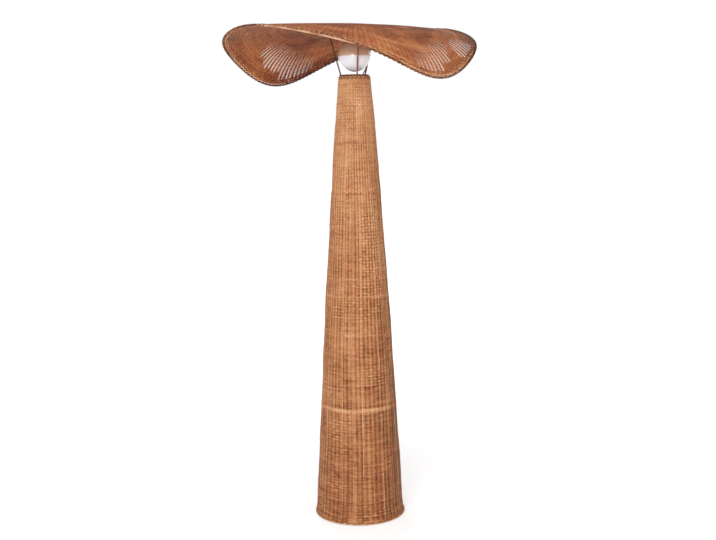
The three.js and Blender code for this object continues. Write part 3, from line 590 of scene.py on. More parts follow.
@dataclass
class WovenColumn:
    """Tapered column: level rows of core woven over and under upright stakes, with pale splints outside."""

    waist_z: float = 63 * MM
    waist_radius: float = 128 * MM
    top_radius: float = 47.5 * MM
    belly: float = 5 * MM
    flare: float = 5 * MM
    flare_height: float = 50 * MM
    depth: float = 2.2 * MM
    steady_edge: float = 30 * MM
    stakes: int = 52
    stake: Pair = (1.6 * MM, 0.9 * MM)
    stake_tone: float = 0.58
    row_pitch: float = 3.0 * MM
    weaver: Pair = (1.76 * MM, 0.85 * MM)
    stout_height: float = 600 * MM
    stouter: float = 0.12
    swing: float = 1.4 * MM
    foot_swing: float = 0.7
    # Darkening where rows cross between stakes: partly stain, partly painted shade in the crevices.
    crease_stain_and_shade: float = 0.28
    foot_crease_stain_and_shade: float = 0.4
    splint_count: int = 24
    splint_angle: float = math.radians(-84.7)
    splint: Pair = (0.7 * MM, 0.4 * MM)
    splint_tone: float = 0.72
    tucked_and_loose: Pair = (0.9 * MM, 2.6 * MM)
    foot_tone: float = 0.36
    climb_tone: float = 0.29
    neck_tone: float = 0.08
    # Painted shade: the column's right side and, less, its left side are darker, as if turned from the
    # light.
    painted_shade_facing: float = math.radians(-8)
    near_side_painted_shade: float = 0.12
    far_side_painted_shade: float = 0.07
    band_pitch: float = 9 * MM
    band_tone: float = 0.10
    bands: Drift = Drift(6, 0.09, 83, 2.0)
    fray: Drift = Drift(26, 0.2, 89, 0.35)
    streaks: Drift = Drift(14, 1.0, 3, 0.10)
    short_streaks: Drift = Drift(60, 1.0, 5, 0.10)
    patches: tuple[Drift, ...] = (Drift(9, 0.030, 7, 0.06), Drift(52, 0.10, 11, 0.10))
    wobble: Drift = Drift(40, 1.0, 13, 0.15 * MM)
    slimness: Drift = Drift(12, 1.0, 17, 0.06)
    rows: tuple[Row, ...] = (
        Row(6.5, 2.4, -0.16), Row(13, 2.2, 0.08, 0.2), Row(20, 2.4, -0.16), Row(28, 2.2, 0.10),
        Row(178, 2.2, 0.12, 0.2), Row(339.5, 7.5, 0.29, 0.5), Row(349.5, 2.2, -0.22, -0.5),
        Row(409, 1.8, -0.24, -0.4), Row(413, 2.2, 0.12), Row(561, 2.6, 0.14, 0.2),
        Row(671, 2.6, 0.16, 0.2), Row(723, 2.6, 0.14, 0.2), Row(970, 5.0, -0.10),
        Row(1116, 5.0, -0.14), Row(1282, 2.0, -0.26, -0.3), Row(1292, 3.0, 0.14, 0.3),
    )
    low: float = field(init=False)
    high: float = field(init=False)
    levels: Array = field(init=False)

    def __post_init__(self) -> None:
        """Take the weave's lower and upper edges from the frame, and share them out into rows."""
        bottom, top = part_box("column_weave")
        self.low, self.high = bottom.z, top.z
        inset = 0.9 * self.weaver[0]
        count = round((self.high - self.low - 2 * inset) / self.row_pitch) + 1
        self.levels = np.linspace(self.low + inset, self.high - inset, count)

    def radius(self, z: Array) -> Array:
        """Outer radius at a height: a straight taper, a slight belly and a flared foot."""
        climb = (z - self.waist_z) / (self.high - self.waist_z)
        taper = self.waist_radius + (self.top_radius - self.waist_radius) * climb
        foot = clamp((self.flare_height - z) / self.flare_height)
        return taper + 4 * self.belly * climb * (1 - climb) + self.flare * foot ** 2

    def place(self, z: Array, angle: Array, proud: Array | float) -> tuple[Array, Array, Array]:
        """Points on the weave, moved a little as handwork is.

        Args:
            z: Heights.
            angle: Directions round the axis.
            proud: Distance out from the middle of the weave.

        Returns:
            The points, the unit vectors up the surface and those out of it.
        """
        z, angle = np.broadcast_arrays(z, angle)
        drift = ripples(angle, z, (0.010, 3, 7, 0), (0.007, 2, -11, 1.3))
        sag = ripples(angle, z, (0.9 * MM, 2, 9, 0), (0.5 * MM, 5, -23, 2.0))
        swell = ripples(angle, z, (0.7 * MM, 2, 13, 0), (0.5 * MM, 3, -31, 0.7))
        loose = clamp(np.minimum(z - self.low, self.high - z) / self.steady_edge)
        slope = ((self.radius(z + MM) - self.radius(z - MM)) / (2 * MM))[..., None]
        outward = radial(angle + drift)
        upward = unit(outward * slope + UP)
        normal = unit(outward - UP * slope)
        reach = self.radius(z) - self.depth + swell * loose
        points = outward * reach[..., None] + UP * (z + sag * loose)[..., None]
        return points + normal * np.asarray(proud)[..., None], upward, normal

    def feature(self, z: Array, name: str) -> Array:
        """Sum one property of the marked rows over heights."""
        return sum(getattr(row, name) * row.near(z) for row in self.rows)

    def stoutness(self, z: Array) -> Array:
        """One at the floor, falling to nothing higher up, where the stakes stand close together."""
        return clamp(1 - z / self.stout_height)

    def tone(self, z: Array, angle: Array, strand: Array) -> Array:
        """Colour along the weavers: each drifts, whole patches differ, the foot is darker, and the sides
        carry painted shade.

        Args:
            z: Heights.
            angle: Directions round the axis.
            strand: A number for each weaver.

        Returns:
            Tones from 0 to 1.
        """
        climb = (z - self.low) / (self.high - self.low)
        neck = self.neck_tone * clamp((climb - 0.8) / 0.15)
        streaks = self.streaks.at(angle, strand) + self.short_streaks.at(angle, strand + 0.5)
        patches = sum(patch.at(angle, z) for patch in self.patches)
        bands = self.band_tone * clamp(self.bands.at(angle, z)) * np.cos(TURN * z / self.band_pitch)
        # Painted shade on both sides of the column.
        facing = np.cos(angle - self.painted_shade_facing)
        painted_edge_shade = self.near_side_painted_shade * clamp(facing) ** 4 + self.far_side_painted_shade * clamp(-facing) ** 6
        broken = self.feature(z, "tone") * (0.9 + self.fray.at(angle, z))
        return self.foot_tone + self.climb_tone * climb + neck + streaks + patches + bands - painted_edge_shade + broken

    def weavers(self) -> None:
        """Weave the level rows in five pieces, over one stake and under the next, darker where they cross:
        partly stain, partly painted shade.
        """
        names = ("foot", "lower", "middle", "upper", "neck")
        for name, numbers in zip(names, np.array_split(np.arange(len(self.levels)), len(names))):
            z, row = column(self.levels[numbers]), column(numbers)
            angle, side = weaving(self.stakes, row)
            stout = self.stoutness(z)
            swing = self.swing * (1 - (1 - self.foot_swing) * stout)
            proud = side * swing + self.feature(z, "proud_mm") * MM
            path = self.place(z + self.wobble.at(angle, row), angle, proud)
            slim = 1 + self.slimness.at(angle, row)
            size = self.weaver[0] * slim * (1 + self.stouter * stout), self.weaver[1] * slim
            # Painted shade, with some stain, where the rows cross between stakes.
            crease_stain_and_shade = self.crease_stain_and_shade * (1 - (1 - self.foot_crease_stain_and_shade) * stout) * (1 - np.abs(side))
            work = Basketwork().lay(*path, size, self.tone(z, angle, row) - crease_stain_and_shade, closed=True)
            work.build(f"column_weave_{name}", CORE, "root", "column_weave", slot="rattan")

    def stand_stakes(self, work: Basketwork, z: Array, tone: Array | float) -> Basketwork:
        """Stand the stakes that the rows are woven on, through these heights."""
        centres, upward, normal = self.place(z, column(round_turn(self.stakes)), 0.0)
        return work.lay(centres, np.cross(normal, upward), normal, self.stake, tone)

    def uprights(self) -> None:
        """Make the column's stakes."""
        z = np.linspace(self.low, self.high, 60)
        tone = self.stake_tone + 0.14 * value_noise(column(round_turn(self.stakes)) * 7, z / 0.08, 19)
        work = self.stand_stakes(Basketwork(), z, tone)
        work.build("column_stakes", CORE, "root", "column_weave", slot="rattan")

    def splints(self) -> None:
        """Thread thin pale splints up the outside, tucked under a row now and then."""
        z = np.linspace(self.low + 4 * MM, self.high - 2 * MM, 420)
        number = column(np.arange(self.splint_count))
        angle = self.splint_angle + TURN / self.splint_count * number
        tucked = value_noise(angle * 9, z / (34 * MM), 23) > 0.1
        proud = np.where(tucked, *self.tucked_and_loose) + self.feature(z, "proud_mm") * MM
        centres, upward, normal = self.place(z, angle, proud)
        paler = np.where(number % 2 == 0, 0.12, -0.04)
        tone = self.splint_tone + paler + 0.16 * value_noise(angle * 7, z / 0.05, 29)
        work = Basketwork().lay(centres, np.cross(normal, upward), normal, self.splint, tone, sides=4)
        work.build("column_splints", CORE, "root", "column_weave", slot="rattan_pale")

    def build(self) -> None:
        """Make the whole column."""
        self.weavers()
        self.uprights()
        self.splints()


@dataclass
class FootBorder:
    """Last rows of the column's foot, closed below by a twisted pair of stained cane."""

    weave: WovenColumn
    rows: int = 3
    first_strand: float = 500.0
    taller: float = 1.1
    stake_tone: float = 0.5
    twist_radius: float = 1.5 * MM
    twist_proud: float = 0.6 * MM
    twists: int = 44
    steps: int = 1056
    drift: Drift = Drift(60, 0.2, 31, 0.14)

    def build(self) -> None:
        """Carry the weave on down to the floor and twist the closing pair below it."""
        weave, thin = self.weave, self.twist_radius
        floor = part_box("foot_border")[0].z
        number = column(np.arange(1, self.rows + 1))
        z = weave.levels[0] - weave.row_pitch * number
        angle, side = weaving(weave.stakes, number)
        path = weave.place(z, angle, side * weave.foot_swing * weave.swing)
        # Painted shade, with some stain, where the rows cross between stakes.
        crease_stain_and_shade = weave.foot_crease_stain_and_shade * weave.crease_stain_and_shade * (1 - np.abs(side))
        tone = weave.tone(z, angle, self.first_strand + number) - crease_stain_and_shade
        size = self.taller * weave.weaver[0], weave.weaver[1]
        work = Basketwork().lay(*path, size, tone, closed=True)
        weave.stand_stakes(work, np.linspace(floor + 2 * thin, weave.low, 5), self.stake_tone)
        work.build("foot_rows", CORE, "root", "foot_border", slot="rattan_dark")
        angle = round_turn(self.steps)
        path = weave.place(np.full_like(angle, floor + 1.9 * thin), angle, self.twist_proud)
        turn = self.twists * angle + column(round_turn(2))
        strand = column(np.arange(2))
        tone = 0.56 + 0.26 * strand + self.drift.at(angle, strand)
        swing = 0.8 * thin
        work = Basketwork().wind(*path, swing * np.sin(turn), swing * np.cos(turn), (thin, thin), tone)
        work.build("foot_twist", STAINED_CANE, "root", "foot_border", slot="rattan_dark")


@dataclass
class TopBinding:
    """Bound rows under the top ring: two twisted pairs that lean opposite ways, on a flat backing."""

    strand_radius: float = 1.15 * MM
    lift: float = 0.75 * MM
    inset: float = 1.9 * MM
    backing_inset: float = 1.0 * MM
    backing_tone: float = 0.62
    twists: int = 22
    steps: int = 528
    drift: Drift = Drift(30, 1.0, 37, 0.1)

    def build(self) -> None:
        """Twist two pairs of stained strands, one above the other, round the mouth."""
        low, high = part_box("top_binding")
        angle = round_turn(self.steps)
        outward = radial(angle)
        radius, thin = high.x - self.inset, self.strand_radius
        half = (high.z - low.z) / 4
        strand = column(np.arange(2))
        work = Basketwork()
        for level, hand in ((low.z + half, 1), (high.z - half, -1)):
            turn = hand * self.twists * angle + column(round_turn(2))
            tone = 0.30 + 0.46 * strand + self.drift.at(angle, strand * 5 + level)
            work.wind(outward * radius + UP * level, UP, outward, (half - thin) * np.sin(turn),
                      self.lift * np.cos(turn), (thin, thin), tone)
            backing = (outward * (radius - self.backing_inset) + UP * level)[None]
            work.lay(backing, UP, outward, (half + 0.9 * MM, 0.6 * MM), self.backing_tone, closed=True)
        work.build("top_bound_rows", STAINED_CANE, "root", "top_binding", slot="rattan_dark")


# The woven shade

@dataclass(frozen=True)
class Fan:
    """Openwork patch of the shade: a slanting oval.

    It lies between two directions, in degrees. Its middle line runs between two shares of the way from
    crown to rim, and it reaches a further share to each side of that. Its strength, from 0 to 1, is given
    at both directions.
    """

    first: float
    last: float
    first_share: float
    last_share: float
    reach: float
    first_strength: float
    last_strength: float
    ragged: Drift = Drift(136, 0.1, 71, 0.45)

    def opening(self, share: Array, angle: Array) -> Array:
        """Its strength well inside the oval and nothing outside it, with a ragged edge."""
        way = (np.degrees(angle) - self.first) / (self.last - self.first)
        middle = self.first_share + (self.last_share - self.first_share) * way
        inside = 1.0 - (2 * way - 1) ** 4 - ((share - middle) / self.reach) ** 2
        strength = self.first_strength + (self.last_strength - self.first_strength) * clamp(way)
        return clamp(1.7 * (inside + self.ragged.at(angle, share))) * strength


@dataclass
class WovenShade:
    """Saddle-shaped shade: spokes that fan out and double, and rows woven round them."""

    reach: float = 365 * MM
    drop: float = 72.2 * MM
    wave: float = 72 * MM
    peak: float = 9.8 * MM
    pinch: float = 4.2 * MM
    skew: float = 3.6 * MM
    curl: float = 25 * MM
    lean_back: float = 12.2 * MM
    lean_right: float = 5 * MM
    shift_left: float = 10 * MM
    saddle_turn: float = math.radians(0.7)
    skew_turn: float = math.radians(-71)
    pale_turn: float = math.radians(-48)
    # Direction of the back, where painted shadow falls on the border and the weave's edge.
    back_painted_shade_turn: float = math.radians(62)
    front_turn: float = math.radians(252)
    row_pitch: float = 3.0 * MM
    row_width: float = 0.70
    open_row_width: float = 0.20
    weaver_half_thickness: float = 1.0 * MM
    swing: float = 0.55 * MM
    # Darkening where rows cross between spokes: partly stain, partly painted shade in the crevices.
    crease_stain_and_shade: float = 0.12
    spoke_rod: Pair = (1.35 * MM, 0.75 * MM)
    rods_per_spoke: int = 4
    crown_spokes: int = 17
    doublings: tuple[float, ...] = (48 * MM, 96 * MM, 190 * MM)
    base_tone: float = 0.42
    pale_tone: float = 0.36
    # Painted shade: how much darker the crown's ridge is.
    crown_painted_shade: float = 0.14
    # Painted shadow: how much darker the weave is at its back edge.
    back_edge_painted_shade: float = 0.25
    streaks: Drift = Drift(22, 1.0, 41, 0.12)
    patches: tuple[Drift, ...] = (
        Drift(34, 1 / 3, 43, 0.08), Drift(8, 1 / 9, 47, 0.07), Drift(26, 1 / 24, 73, 0.11),
    )
    wobble: Drift = Drift(30, 1.0, 53, 0.2 * MM)
    fans: tuple[Fan, ...] = (
        Fan(109, 166, 0.925, 0.66, 0.165, 1.0, 0.6),
        Fan(300, 339, 0.91, 0.68, 0.17, 0.95, 0.65),
        Fan(336, 359.9, 0.88, 0.88, 0.12, 0.6, 0.9),
    )
    border_steps: int = 1368
    border_periods: int = 57
    plait_radius: float = 2.25 * MM
    plait_reach: float = 4.0 * MM
    plait_lift: float = 1.7 * MM
    plait_drift: Drift = Drift(57, 0.2, 59, 0.22)
    pair_inset: float = 9.5 * MM
    pair_strand: Pair = (2.1 * MM, 1.3 * MM)
    pair_drift: Drift = Drift(76, 0.2, 97, 0.24)
    cane: Pair = (1.6 * MM, 2.5 * MM)
    cane_drift: Drift = Drift(80, 1.0, 79, 0.20)
    cane_binding: Drift = Drift(110, 1.0, 101, 0.10)
    mat_pitch: float = 2.2 * MM
    mat_start: float = 4.2 * MM
    crown_z: float = field(init=False)
    hole: float = field(init=False)

    def __post_init__(self) -> None:
        """Take the crown's height and hole from the frame."""
        low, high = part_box("crown_disc")
        self.crown_z = (low.z + high.z) / 2
        self.hole = (high.x - low.x) / 2 + 0.6 * MM

    def point(self, share: Array, angle: Array) -> Array:
        """Middle surface: a shallow dome whose rim waves up and down twice; 0 is the crown, 1 the rim."""
        share, angle = np.broadcast_arrays(share, angle)
        saddle = angle + self.saddle_turn
        wave = self.wave * np.sin(2 * saddle) + self.peak * np.cos(4 * saddle)
        pinch = self.pinch * np.sin(6 * saddle)
        skew = self.skew * np.sin(3 * angle + self.skew_turn)
        low = (1 - np.sin(2 * saddle)) / 2
        reach = self.reach * share - self.curl * low ** 2 * share ** 7
        lean = (self.lean_back * np.sin(angle) + self.lean_right * np.cos(angle)) * share
        z = self.crown_z + (wave - pinch + skew - self.drop) * share ** 2.75 + lean
        x = reach * np.cos(angle) - self.shift_left * share
        return np.stack([x, reach * np.sin(angle), z], -1)

    def place(self, share: Array | float, angle: Array) -> tuple[Array, Array, Array]:
        """Points on the shade with the directions along a spoke and up.

        Args:
            share: Way from the crown to the rim.
            angle: Directions round the crown.

        Returns:
            Points and two unit vectors for each.
        """
        step, swivel = 1e-3, 2e-3
        spoke = unit(self.point(share + step, angle) - self.point(share - step, angle))
        row = unit(self.point(share, angle + swivel) - self.point(share, angle - swivel))
        return self.point(share, angle), spoke, unit(np.cross(spoke, row))

    def back(self, angle: Array) -> Array:
        """How far a direction lies at the back, where the border and the weave's edge get painted shadow: 1
        there and 0 elsewhere.
        """
        return clamp(1.8 * np.cos(angle - self.back_painted_shade_turn))

    def tone(self, share: Array, angle: Array, strand: Array) -> Array:
        """Colour along the shade's rods: slow drifts along each and fans of darker and paler spokes; painted
        shade darkens the crown's ridge and the back edge.
        """
        patches = sum(patch.at(angle, share) for patch in self.patches)
        front_right = clamp(np.cos(angle - self.pale_turn)) ** 3
        pale = self.pale_tone * front_right * (share - 0.40)
        # Painted shade over the crown's ridge.
        crown = self.crown_painted_shade * clamp(1.7 - 2 * share)
        # Painted shadow along the weave's back edge.
        edge = self.back_edge_painted_shade * self.back(angle) * clamp((share - 0.84) / 0.14)
        return self.base_tone + self.streaks.at(angle, strand) + patches + pale - crown - edge

    def opening(self, share: Array, angle: Array) -> Array:
        """How open the weave is: one in the openwork fans and nothing elsewhere."""
        return np.max([fan.opening(share, angle) for fan in self.fans], axis=0)

    def zones(self) -> list[tuple[float, float, int]]:
        """Rings of the shade with one number of spokes each: inner radius, outer radius, spokes."""
        edges = (self.hole, *self.doublings, self.reach - 3 * MM)
        return [(a, b, self.crown_spokes * 2 ** k) for k, (a, b) in enumerate(zip(edges, edges[1:]))]

    def rows(self, work: Basketwork, inner: float, outer: float, spokes: int, seed: int) -> None:
        """Weave the rows of one ring over and under its spokes, side by side except in the fans.

        Args:
            work: The mesh that gets the rows.
            inner: The ring's inner radius.
            outer: Its outer radius.
            spokes: How many spokes it has.
            seed: Keeps its colours apart from the others'.
        """
        count = max(round((outer - inner) / self.row_pitch), 1)
        number = column(np.arange(count))
        pitch = (outer - inner) / count / self.reach
        share = inner / self.reach + pitch * (number + 0.5)
        angle, side = weaving(spokes, number)
        strand = number + seed * 60.0
        points, spoke, up = self.place(share + self.wobble.at(angle, strand) / self.reach, angle)
        across_row = self.point(share + pitch / 2, angle) - self.point(share - pitch / 2, angle)
        openness = clamp(2.2 * self.opening(share, angle))
        narrowing = (self.row_width - self.open_row_width) * openness
        width = np.linalg.norm(across_row, axis=-1) * (self.row_width - narrowing)
        away = clamp((share * self.reach - 60 * MM) / (100 * MM))
        swing = side * self.swing * (0.5 + 0.5 * away)
        # Painted shade, with some stain, where the rows cross between spokes.
        tone = self.tone(share, angle, strand) - self.crease_stain_and_shade * away * (1 - np.abs(side))
        size = width, self.weaver_half_thickness
        work.lay(points + swing[..., None] * up, -spoke, up, size, tone, closed=True)

    def weave(self) -> None:
        """Weave the rows, the outer ring as two pieces of its own."""
        *rings, (inner, outer, spokes) = self.zones()
        middle = (inner + outer) / 2
        pieces = (
            ("inner", 0, rings),
            ("middle", len(rings) + 1, [(inner, middle, spokes)]),
            ("outer", len(rings) + 2, [(middle, outer, spokes)]),
        )
        for name, first_seed, zones in pieces:
            work = Basketwork()
            for seed, zone in enumerate(zones, first_seed):
                self.rows(work, *zone, seed)
            work.build(f"shade_weave_{name}", SHADE_CORE, "head", "shade_weave", slot="rattan")

    def spokes(self) -> None:
        """Fan the spokes out, some rods to each, adding one between each two where the rings double."""
        zones = self.zones()
        works = {"shade_spokes": Basketwork(), "shade_spokes_added": Basketwork()}
        outermost = len(zones) - 1
        for k, (inner, _, count) in enumerate(zones):
            work = works["shade_spokes_added" if k == outermost else "shade_spokes"]
            number = column(np.arange(count) if k == 0 else np.arange(1, count, 2))
            angle = TURN * number / count
            last = self.reach - 2 * MM
            share = np.linspace(inner / self.reach, last / self.reach, 12 + 12 * (len(zones) - k))
            points, spoke, up = self.place(share, angle)
            row = np.cross(up, spoke)
            spread = clamp((share * self.reach - inner) / (40 * MM)) * self.spoke_rod[0]
            spread = spread * (2.25 - 0.95 * self.opening(share, angle))
            for rod in range(self.rods_per_spoke):
                offset = rod - (self.rods_per_spoke - 1) / 2
                centres = points + (offset * spread)[..., None] * row
                tone = self.tone(share, angle, number + 7.0 * k + offset) - 0.05
                work.lay(centres, row, up, self.spoke_rod, tone)
        for name, work in works.items():
            work.build(name, SHADE_CORE, "head", "shade_weave", slot="rattan")

    def border(self) -> None:
        """Plait the border round the rim, with a twisted pair inside it."""
        angle = round_turn(self.border_steps)
        back = self.back(angle)
        points, spoke, up = self.place(1 - 0.5 * MM / self.reach, angle)
        turn = self.border_periods * angle + column(round_turn(3))
        drift = self.plait_drift.at(angle, column(np.arange(3)))
        # Painted shadow darkens the plait at the back; it is also darker on its outer side, partly the
        # cane's brown and partly painted shade.
        tone = 0.40 + 0.30 * np.cos(turn) + drift - 0.5 * back
        work = Basketwork()
        work.wind(points, -spoke, up, self.plait_reach * np.cos(turn), self.plait_lift * np.sin(2 * turn),
                  (self.plait_radius, self.plait_radius), tone, sides=8)
        points, spoke, up = self.place(1 - self.pair_inset / self.reach, angle)
        turn = self.border_periods * angle + column(round_turn(2))
        smooth_part = clamp(3 * np.cos(angle - self.front_turn) - 1.2)
        crest = np.abs(np.cos(turn)) * (1 - 0.8 * smooth_part)
        # Painted shadow darkens the pair at the back too.
        tone = 0.30 + 0.32 * crest + self.pair_drift.at(angle, column(np.arange(2))) - 0.4 * back
        work.wind(points, -spoke, up, -2.0 * MM * np.sin(turn), 2.4 * MM * np.cos(turn),
                  self.pair_strand, tone)
        work.build("rim_plait", STAINED_CANE, "head", "shade_rim", slot="rattan_pale")

    def front_cane(self) -> None:
        """Bend a pale cane along the front of the rim, thin and tucked in at both ends."""
        first, last = math.radians(222), math.radians(279)
        angle = np.linspace(first, last, 260)
        points, spoke, up = self.place(1.0, angle)
        ends = clamp(np.minimum((angle - first) / math.radians(14), (last - angle) / math.radians(9)))
        centres = points + (ends[..., None] * 6.5 - 1.0) * MM * spoke
        bound = (0.25 + 0.75 * ends) * (1 + self.cane_binding.at(angle, 0.0))
        size, tone = [half * bound for half in self.cane], 0.36 + self.cane_drift.at(angle, 0.0)
        work = Basketwork().lay(centres[None], -spoke, up, size, tone, sides=8)
        work.build("rim_front_cane", CANE, "head", "shade_rim", slot="rattan_pale")

    def crown(self) -> None:
        """Coil a tight round mat over the crown, with a button at its middle."""
        rim = self.point(np.array(self.hole / self.reach), np.array([0.0, math.pi]))
        middle = np.array([rim.mean(0)[0], 0, self.crown_z])
        last = self.hole + 0.8 * MM
        count = int((last - self.mat_start) / self.mat_pitch) + 2
        radius = column(np.linspace(self.mat_start, last, count))
        crossing = np.arange(2 * self.crown_spokes) / 2 + 0.25
        angle = TURN * crossing / self.crown_spokes
        side = alternate(np.floor(crossing + 0.5)) * alternate(column(np.arange(count)))
        outward = radial(angle)
        centres = middle + radius[..., None] * outward + (side * 0.5 * MM)[..., None] * UP
        tone = 0.45 + 0.15 * value_noise(angle, radius / self.mat_pitch, 61)
        work = Basketwork().lay(centres, -outward, UP, (1.25 * MM, 0.6 * MM), tone, closed=True)
        spokes = radial(round_turn(self.crown_spokes))[:, None]
        rays = middle + np.linspace(1.5 * MM, self.hole, 6)[None, :, None] * spokes
        work.lay(rays, np.cross(UP, spokes), UP, (0.9 * MM, 0.45 * MM), 0.4)
        climb = np.linspace(-0.5, 0.5, 9)
        button = middle + (climb * 2.0 * MM)[None, :, None] * UP
        belly = 4.4 * MM * np.sqrt(np.clip(1 - (2 * climb) ** 2, 0.04, 1))
        work.lay(button, np.array([1.0, 0, 0]), np.array([0, 1.0, 0]), (belly, belly), 0.5, sides=20)
        work.build("crown_mat", SHADE_CORE, "head", "crown_disc", slot="rattan")

    def build(self) -> None:
        """Make the whole shade."""
        self.weave()
        self.spokes()
        self.border()
        self.front_cane()
        self.crown()


# Wire and glass

@dataclass
class Stalks:
    """Ring of round wire on the column's mouth and the three stalks that hold the head."""

    wire: float = 2.1 * MM
    ring_radius: float = 41.5 * MM
    foot_radius: float = 42.9 * MM
    pin_radius: float = 72.5 * MM
    foot_rise: float = 4 * MM
    pin_length: float = 16 * MM
    bend_length: float = 9 * MM
    wrap_pitch: float = 3.4 * MM
    wrap_half_thickness: float = 0.3 * MM
    steps_per_wrap: int = 14
    angles: dict[str, float] = field(default_factory=lambda: {"front": -79, "right": 41, "left": 161})

    def path(self, name: str, z: Array, outward: Array) -> Array:
        """Middle line of a stalk: an upright foot, an even lean outwards and an upright pin.

        Args:
            name: The stalk's node.
            z: Heights on it.
            outward: The unit vector that it leans along.

        Returns:
            The point at each height.
        """
        low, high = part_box(name)
        lean_rise = high.z - low.z - self.foot_rise - self.pin_length - self.bend_length
        climb = clamp((z - low.z - self.foot_rise) / lean_rise)
        reach = self.foot_radius + (self.pin_radius - self.foot_radius) * climb
        return outward * reach[:, None] + UP * z[:, None]

    def build(self) -> None:
        """Bend the ring and the stalks, and wrap the front stalk in cane."""
        low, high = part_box("top_ring")
        outward, size = radial(round_turn(128)), (self.wire, self.wire)
        middle = outward * self.ring_radius + UP * (low.z + high.z) / 2
        ring = Basketwork().lay(middle[None], UP, outward, size, 0.5, sides=12, closed=True)
        ring.build("mouth_ring", LACQUER, "root", "top_ring", slot="dark_steel_wire")
        for side, degrees in self.angles.items():
            name = f"stalk_{side}"
            low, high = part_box(name)
            outward = radial(np.array(math.radians(degrees)))
            path = self.path(name, np.linspace(low.z, high.z, 72), outward)
            stalk = Basketwork().lay(path[None], np.cross(outward, UP), outward, size, 0.5, sides=12)
            stalk.build(f"{name}_wire", LACQUER, "root", name, slot="dark_steel_wire")
            if side == "front":
                self.wrap(name, outward)

    def wrap(self, name: str, outward: Array) -> None:
        """Wind a flat cane strip round a stalk, from its foot to below its sleeve."""
        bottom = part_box(name)[0].z + 1 * MM
        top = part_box("head_frame")[0].z - 1.5 * MM
        turns = (top - bottom) / self.wrap_pitch
        share = np.linspace(0, 1, int(turns * self.steps_per_wrap))
        turn = column(TURN * turns * share)
        around = np.cos(turn) * outward + np.sin(turn) * np.cross(UP, outward)
        path = self.path(name, bottom + (top - bottom) * share, outward)
        centres = path + around * (self.wire + 0.1 * MM)
        tone = 0.26 + 0.12 * value_noise(share * 40, 0.0, 67)
        size = self.wrap_pitch * 0.47, self.wrap_half_thickness
        work = Basketwork().lay(centres[None], UP, around, size, tone)
        work.build("stalk_front_wrap", CANE, "root", slot="rattan_pale")


@dataclass
class Bulb:
    """Blown globe of an opal bulb, open at its neck."""

    glass: float = 1.2 * MM
    neck: float = 17 * MM
    # Where the painted tan of reflection and shade starts, below the globe's middle.
    painted_tan_below_middle: float = 4 * MM

    def build(self) -> None:
        """Turn the globe's outer and inner skins, joined at the neck."""
        low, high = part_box("bulb_globe")
        radius = (high.x - low.x) / 2
        centre = low.z + radius
        turn = np.linspace(math.pi, math.asin(self.neck / radius), 64)
        outer, inner = (np.stack([reach * np.sin(turn), centre + reach * np.cos(turn)], -1)
                        for reach in (radius, radius - self.glass))
        outer[0, 0] = inner[0, 0] = 0.0
        mesh = turned(np.concatenate([outer, inner[::-1]]), "opal_globe", 128)
        glass = OpalGlass(painted_tan_from=centre - self.painted_tan_below_middle)
        settle(mesh, "opal_globe", glass, "bulb", ("bulb_globe",))


# Studio

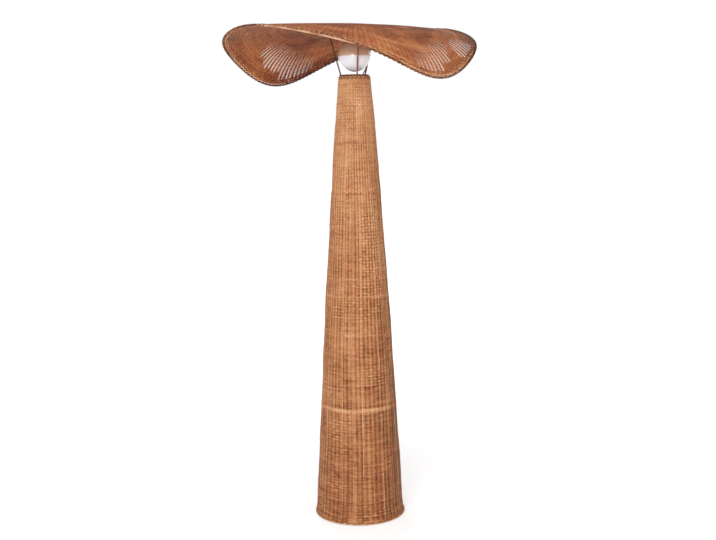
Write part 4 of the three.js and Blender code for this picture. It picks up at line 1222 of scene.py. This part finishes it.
@dataclass(frozen=True)
class Studio:
    """Pale floor, white surroundings, soft lamps and the camera at the photograph's place.

    Each lamp is a name, the place where it hangs, the side of its square and its power in watts.
    """

    eye: tuple[float, float, float] = (0.003, -3.081, 1.1454)
    tilt_down: float = math.radians(7.488)
    roll: float = math.radians(-0.77)
    lens_mm: float = 52.64
    sensor_mm: float = 36.0
    middle: tuple[float, float, float] = (0, 0, 0.95)
    lamps: tuple[tuple[str, tuple[float, float, float], float, float], ...] = (
        ("key", (-0.6, -3.5, 1.6), 1.6, 78.0),
        ("fill", (2.0, -3.2, 1.0), 2.0, 10.0),
        ("back", (-0.8, 3.4, 1.2), 2.0, 34.0),
    )
    room_light: float = 0.45
    floor_half: float = 30.0

    def camera(self) -> None:
        """Stand the camera in front of the lamp, tilted down a little."""
        data = bpy.data.cameras.new("camera")
        data.sensor_fit = "HORIZONTAL"
        data.sensor_width = self.sensor_mm
        data.lens = self.lens_mm
        camera = add_object("camera", data)
        aim = Matrix.Rotation(math.pi / 2 - self.tilt_down, 4, "X")
        camera.matrix_world = Matrix.Translation(self.eye) @ aim @ Matrix.Rotation(self.roll, 4, "Z")
        bpy.context.scene.camera = camera

    def seen(self, tree: Tree) -> Socket:
        """One for rays from the camera or off gloss or glass, and nothing for light on the object."""
        path = add_node(tree, "ShaderNodeLightPath").outputs
        shown = maths(tree, "MAXIMUM", path["Is Camera Ray"], path["Is Glossy Ray"])
        return maths(tree, "MAXIMUM", shown, path["Is Transmission Ray"])

    def world(self) -> None:
        """White all round to the eye, and a plain soft light on the object."""
        world = bpy.data.worlds.new("studio")
        bpy.context.scene.world = world
        world.use_nodes = True
        tree = world.node_tree
        tree.nodes.clear()
        light = add_node(tree, "ShaderNodeBackground", {
            "Color": (1, 1, 1, 1), "Strength": remap(tree, self.seen(tree), (0, 1), (self.room_light, 1)),
        })
        add_node(tree, "ShaderNodeOutputWorld", {"Surface": light.outputs[0]})

    def floor(self) -> None:
        """Lay a wide pale floor that keeps the lamp's shadow and pales with distance."""
        half = self.floor_half
        mesh = bpy.data.meshes.new("floor")
        mesh.from_pydata([(-half, -half, 0), (half, -half, 0), (half, half, 0), (-half, half, 0)], [],
                         [(0, 1, 2, 3)])
        material, tree, shader = blank_material("pale_floor")
        away = add_node(tree, "ShaderNodeVectorMath", {0: object_place(tree)}, operation="LENGTH")
        paling = remap(tree, away.outputs["Value"], (0.5, 3.0), (0.44, 0.85))
        fill(tree, shader, {
            "Base Color": linear("#f4f4f4"),
            "Roughness": 0.9,
            "Specular IOR Level": 0.0,
            "Emission Color": (1, 1, 1, 1),
            "Emission Strength": maths(tree, "MULTIPLY", self.seen(tree), paling),
        })
        mesh.materials.append(material)
        add_object("floor", mesh)

    def build(self) -> None:
        """Set the camera, the floor, the light and the plain view settings."""
        self.camera()
        self.world()
        self.floor()
        for name, place, size, power in self.lamps:
            data = bpy.data.lights.new(name, "AREA")
            data.size = size
            data.energy = power
            aim = (Vector(self.middle) - Vector(place)).to_track_quat("-Z", "Y")
            add_object(name, data).matrix_world = Matrix.Translation(place) @ aim.to_matrix().to_4x4()
        bpy.context.scene.view_settings.view_transform = "Standard"


# Nodes that keep the frame's own shape

KEPT: dict[Hard, str] = {
    FELT: "base_pad",
    PAINT: "ballast_plate",
    ZINC: "lug_screw_1 lug_screw_2 lug_screw_3 bulb_cap",
    LACQUER: "column_frame head_frame",
    MOULDING: "cord_gland gland_nut terminal_box terminal_lid lead_tie_1 lead_tie_2 lead_tie_3 lead_tie_4 "
              "stalk_tie lead_socket lead_plug lampholder_cap lampholder_skirt clamp_ring led_driver "
              "bulb_insulator",
    SHEATH: "column_lead upper_lead",
    GLAZE: "lampholder_core",
    BRASS: "lampholder_contact lampholder_thread bulb_contact",
    WHITE_MOULDING: "bulb_collar led_board",
}


def dress_kept_nodes() -> None:
    """Give each node that keeps its shape the material of its real counterpart."""
    for finish, names in KEPT.items():
        for name in names.split():
            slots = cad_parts[name].data.materials
            slots.clear()
            slots.append(shared_material(finish))


def main() -> None:
    """Build the lamp and its studio."""
    logging.basicConfig(level=logging.INFO, format="%(name)s: %(message)s")
    Studio().build()
    dress_kept_nodes()
    woven_column = WovenColumn()
    woven_column.build()
    FootBorder(woven_column).build()
    TopBinding().build()
    WovenShade().build()
    Stalks().build()
    Bulb().build()


if __name__ == "__main__":
    main()
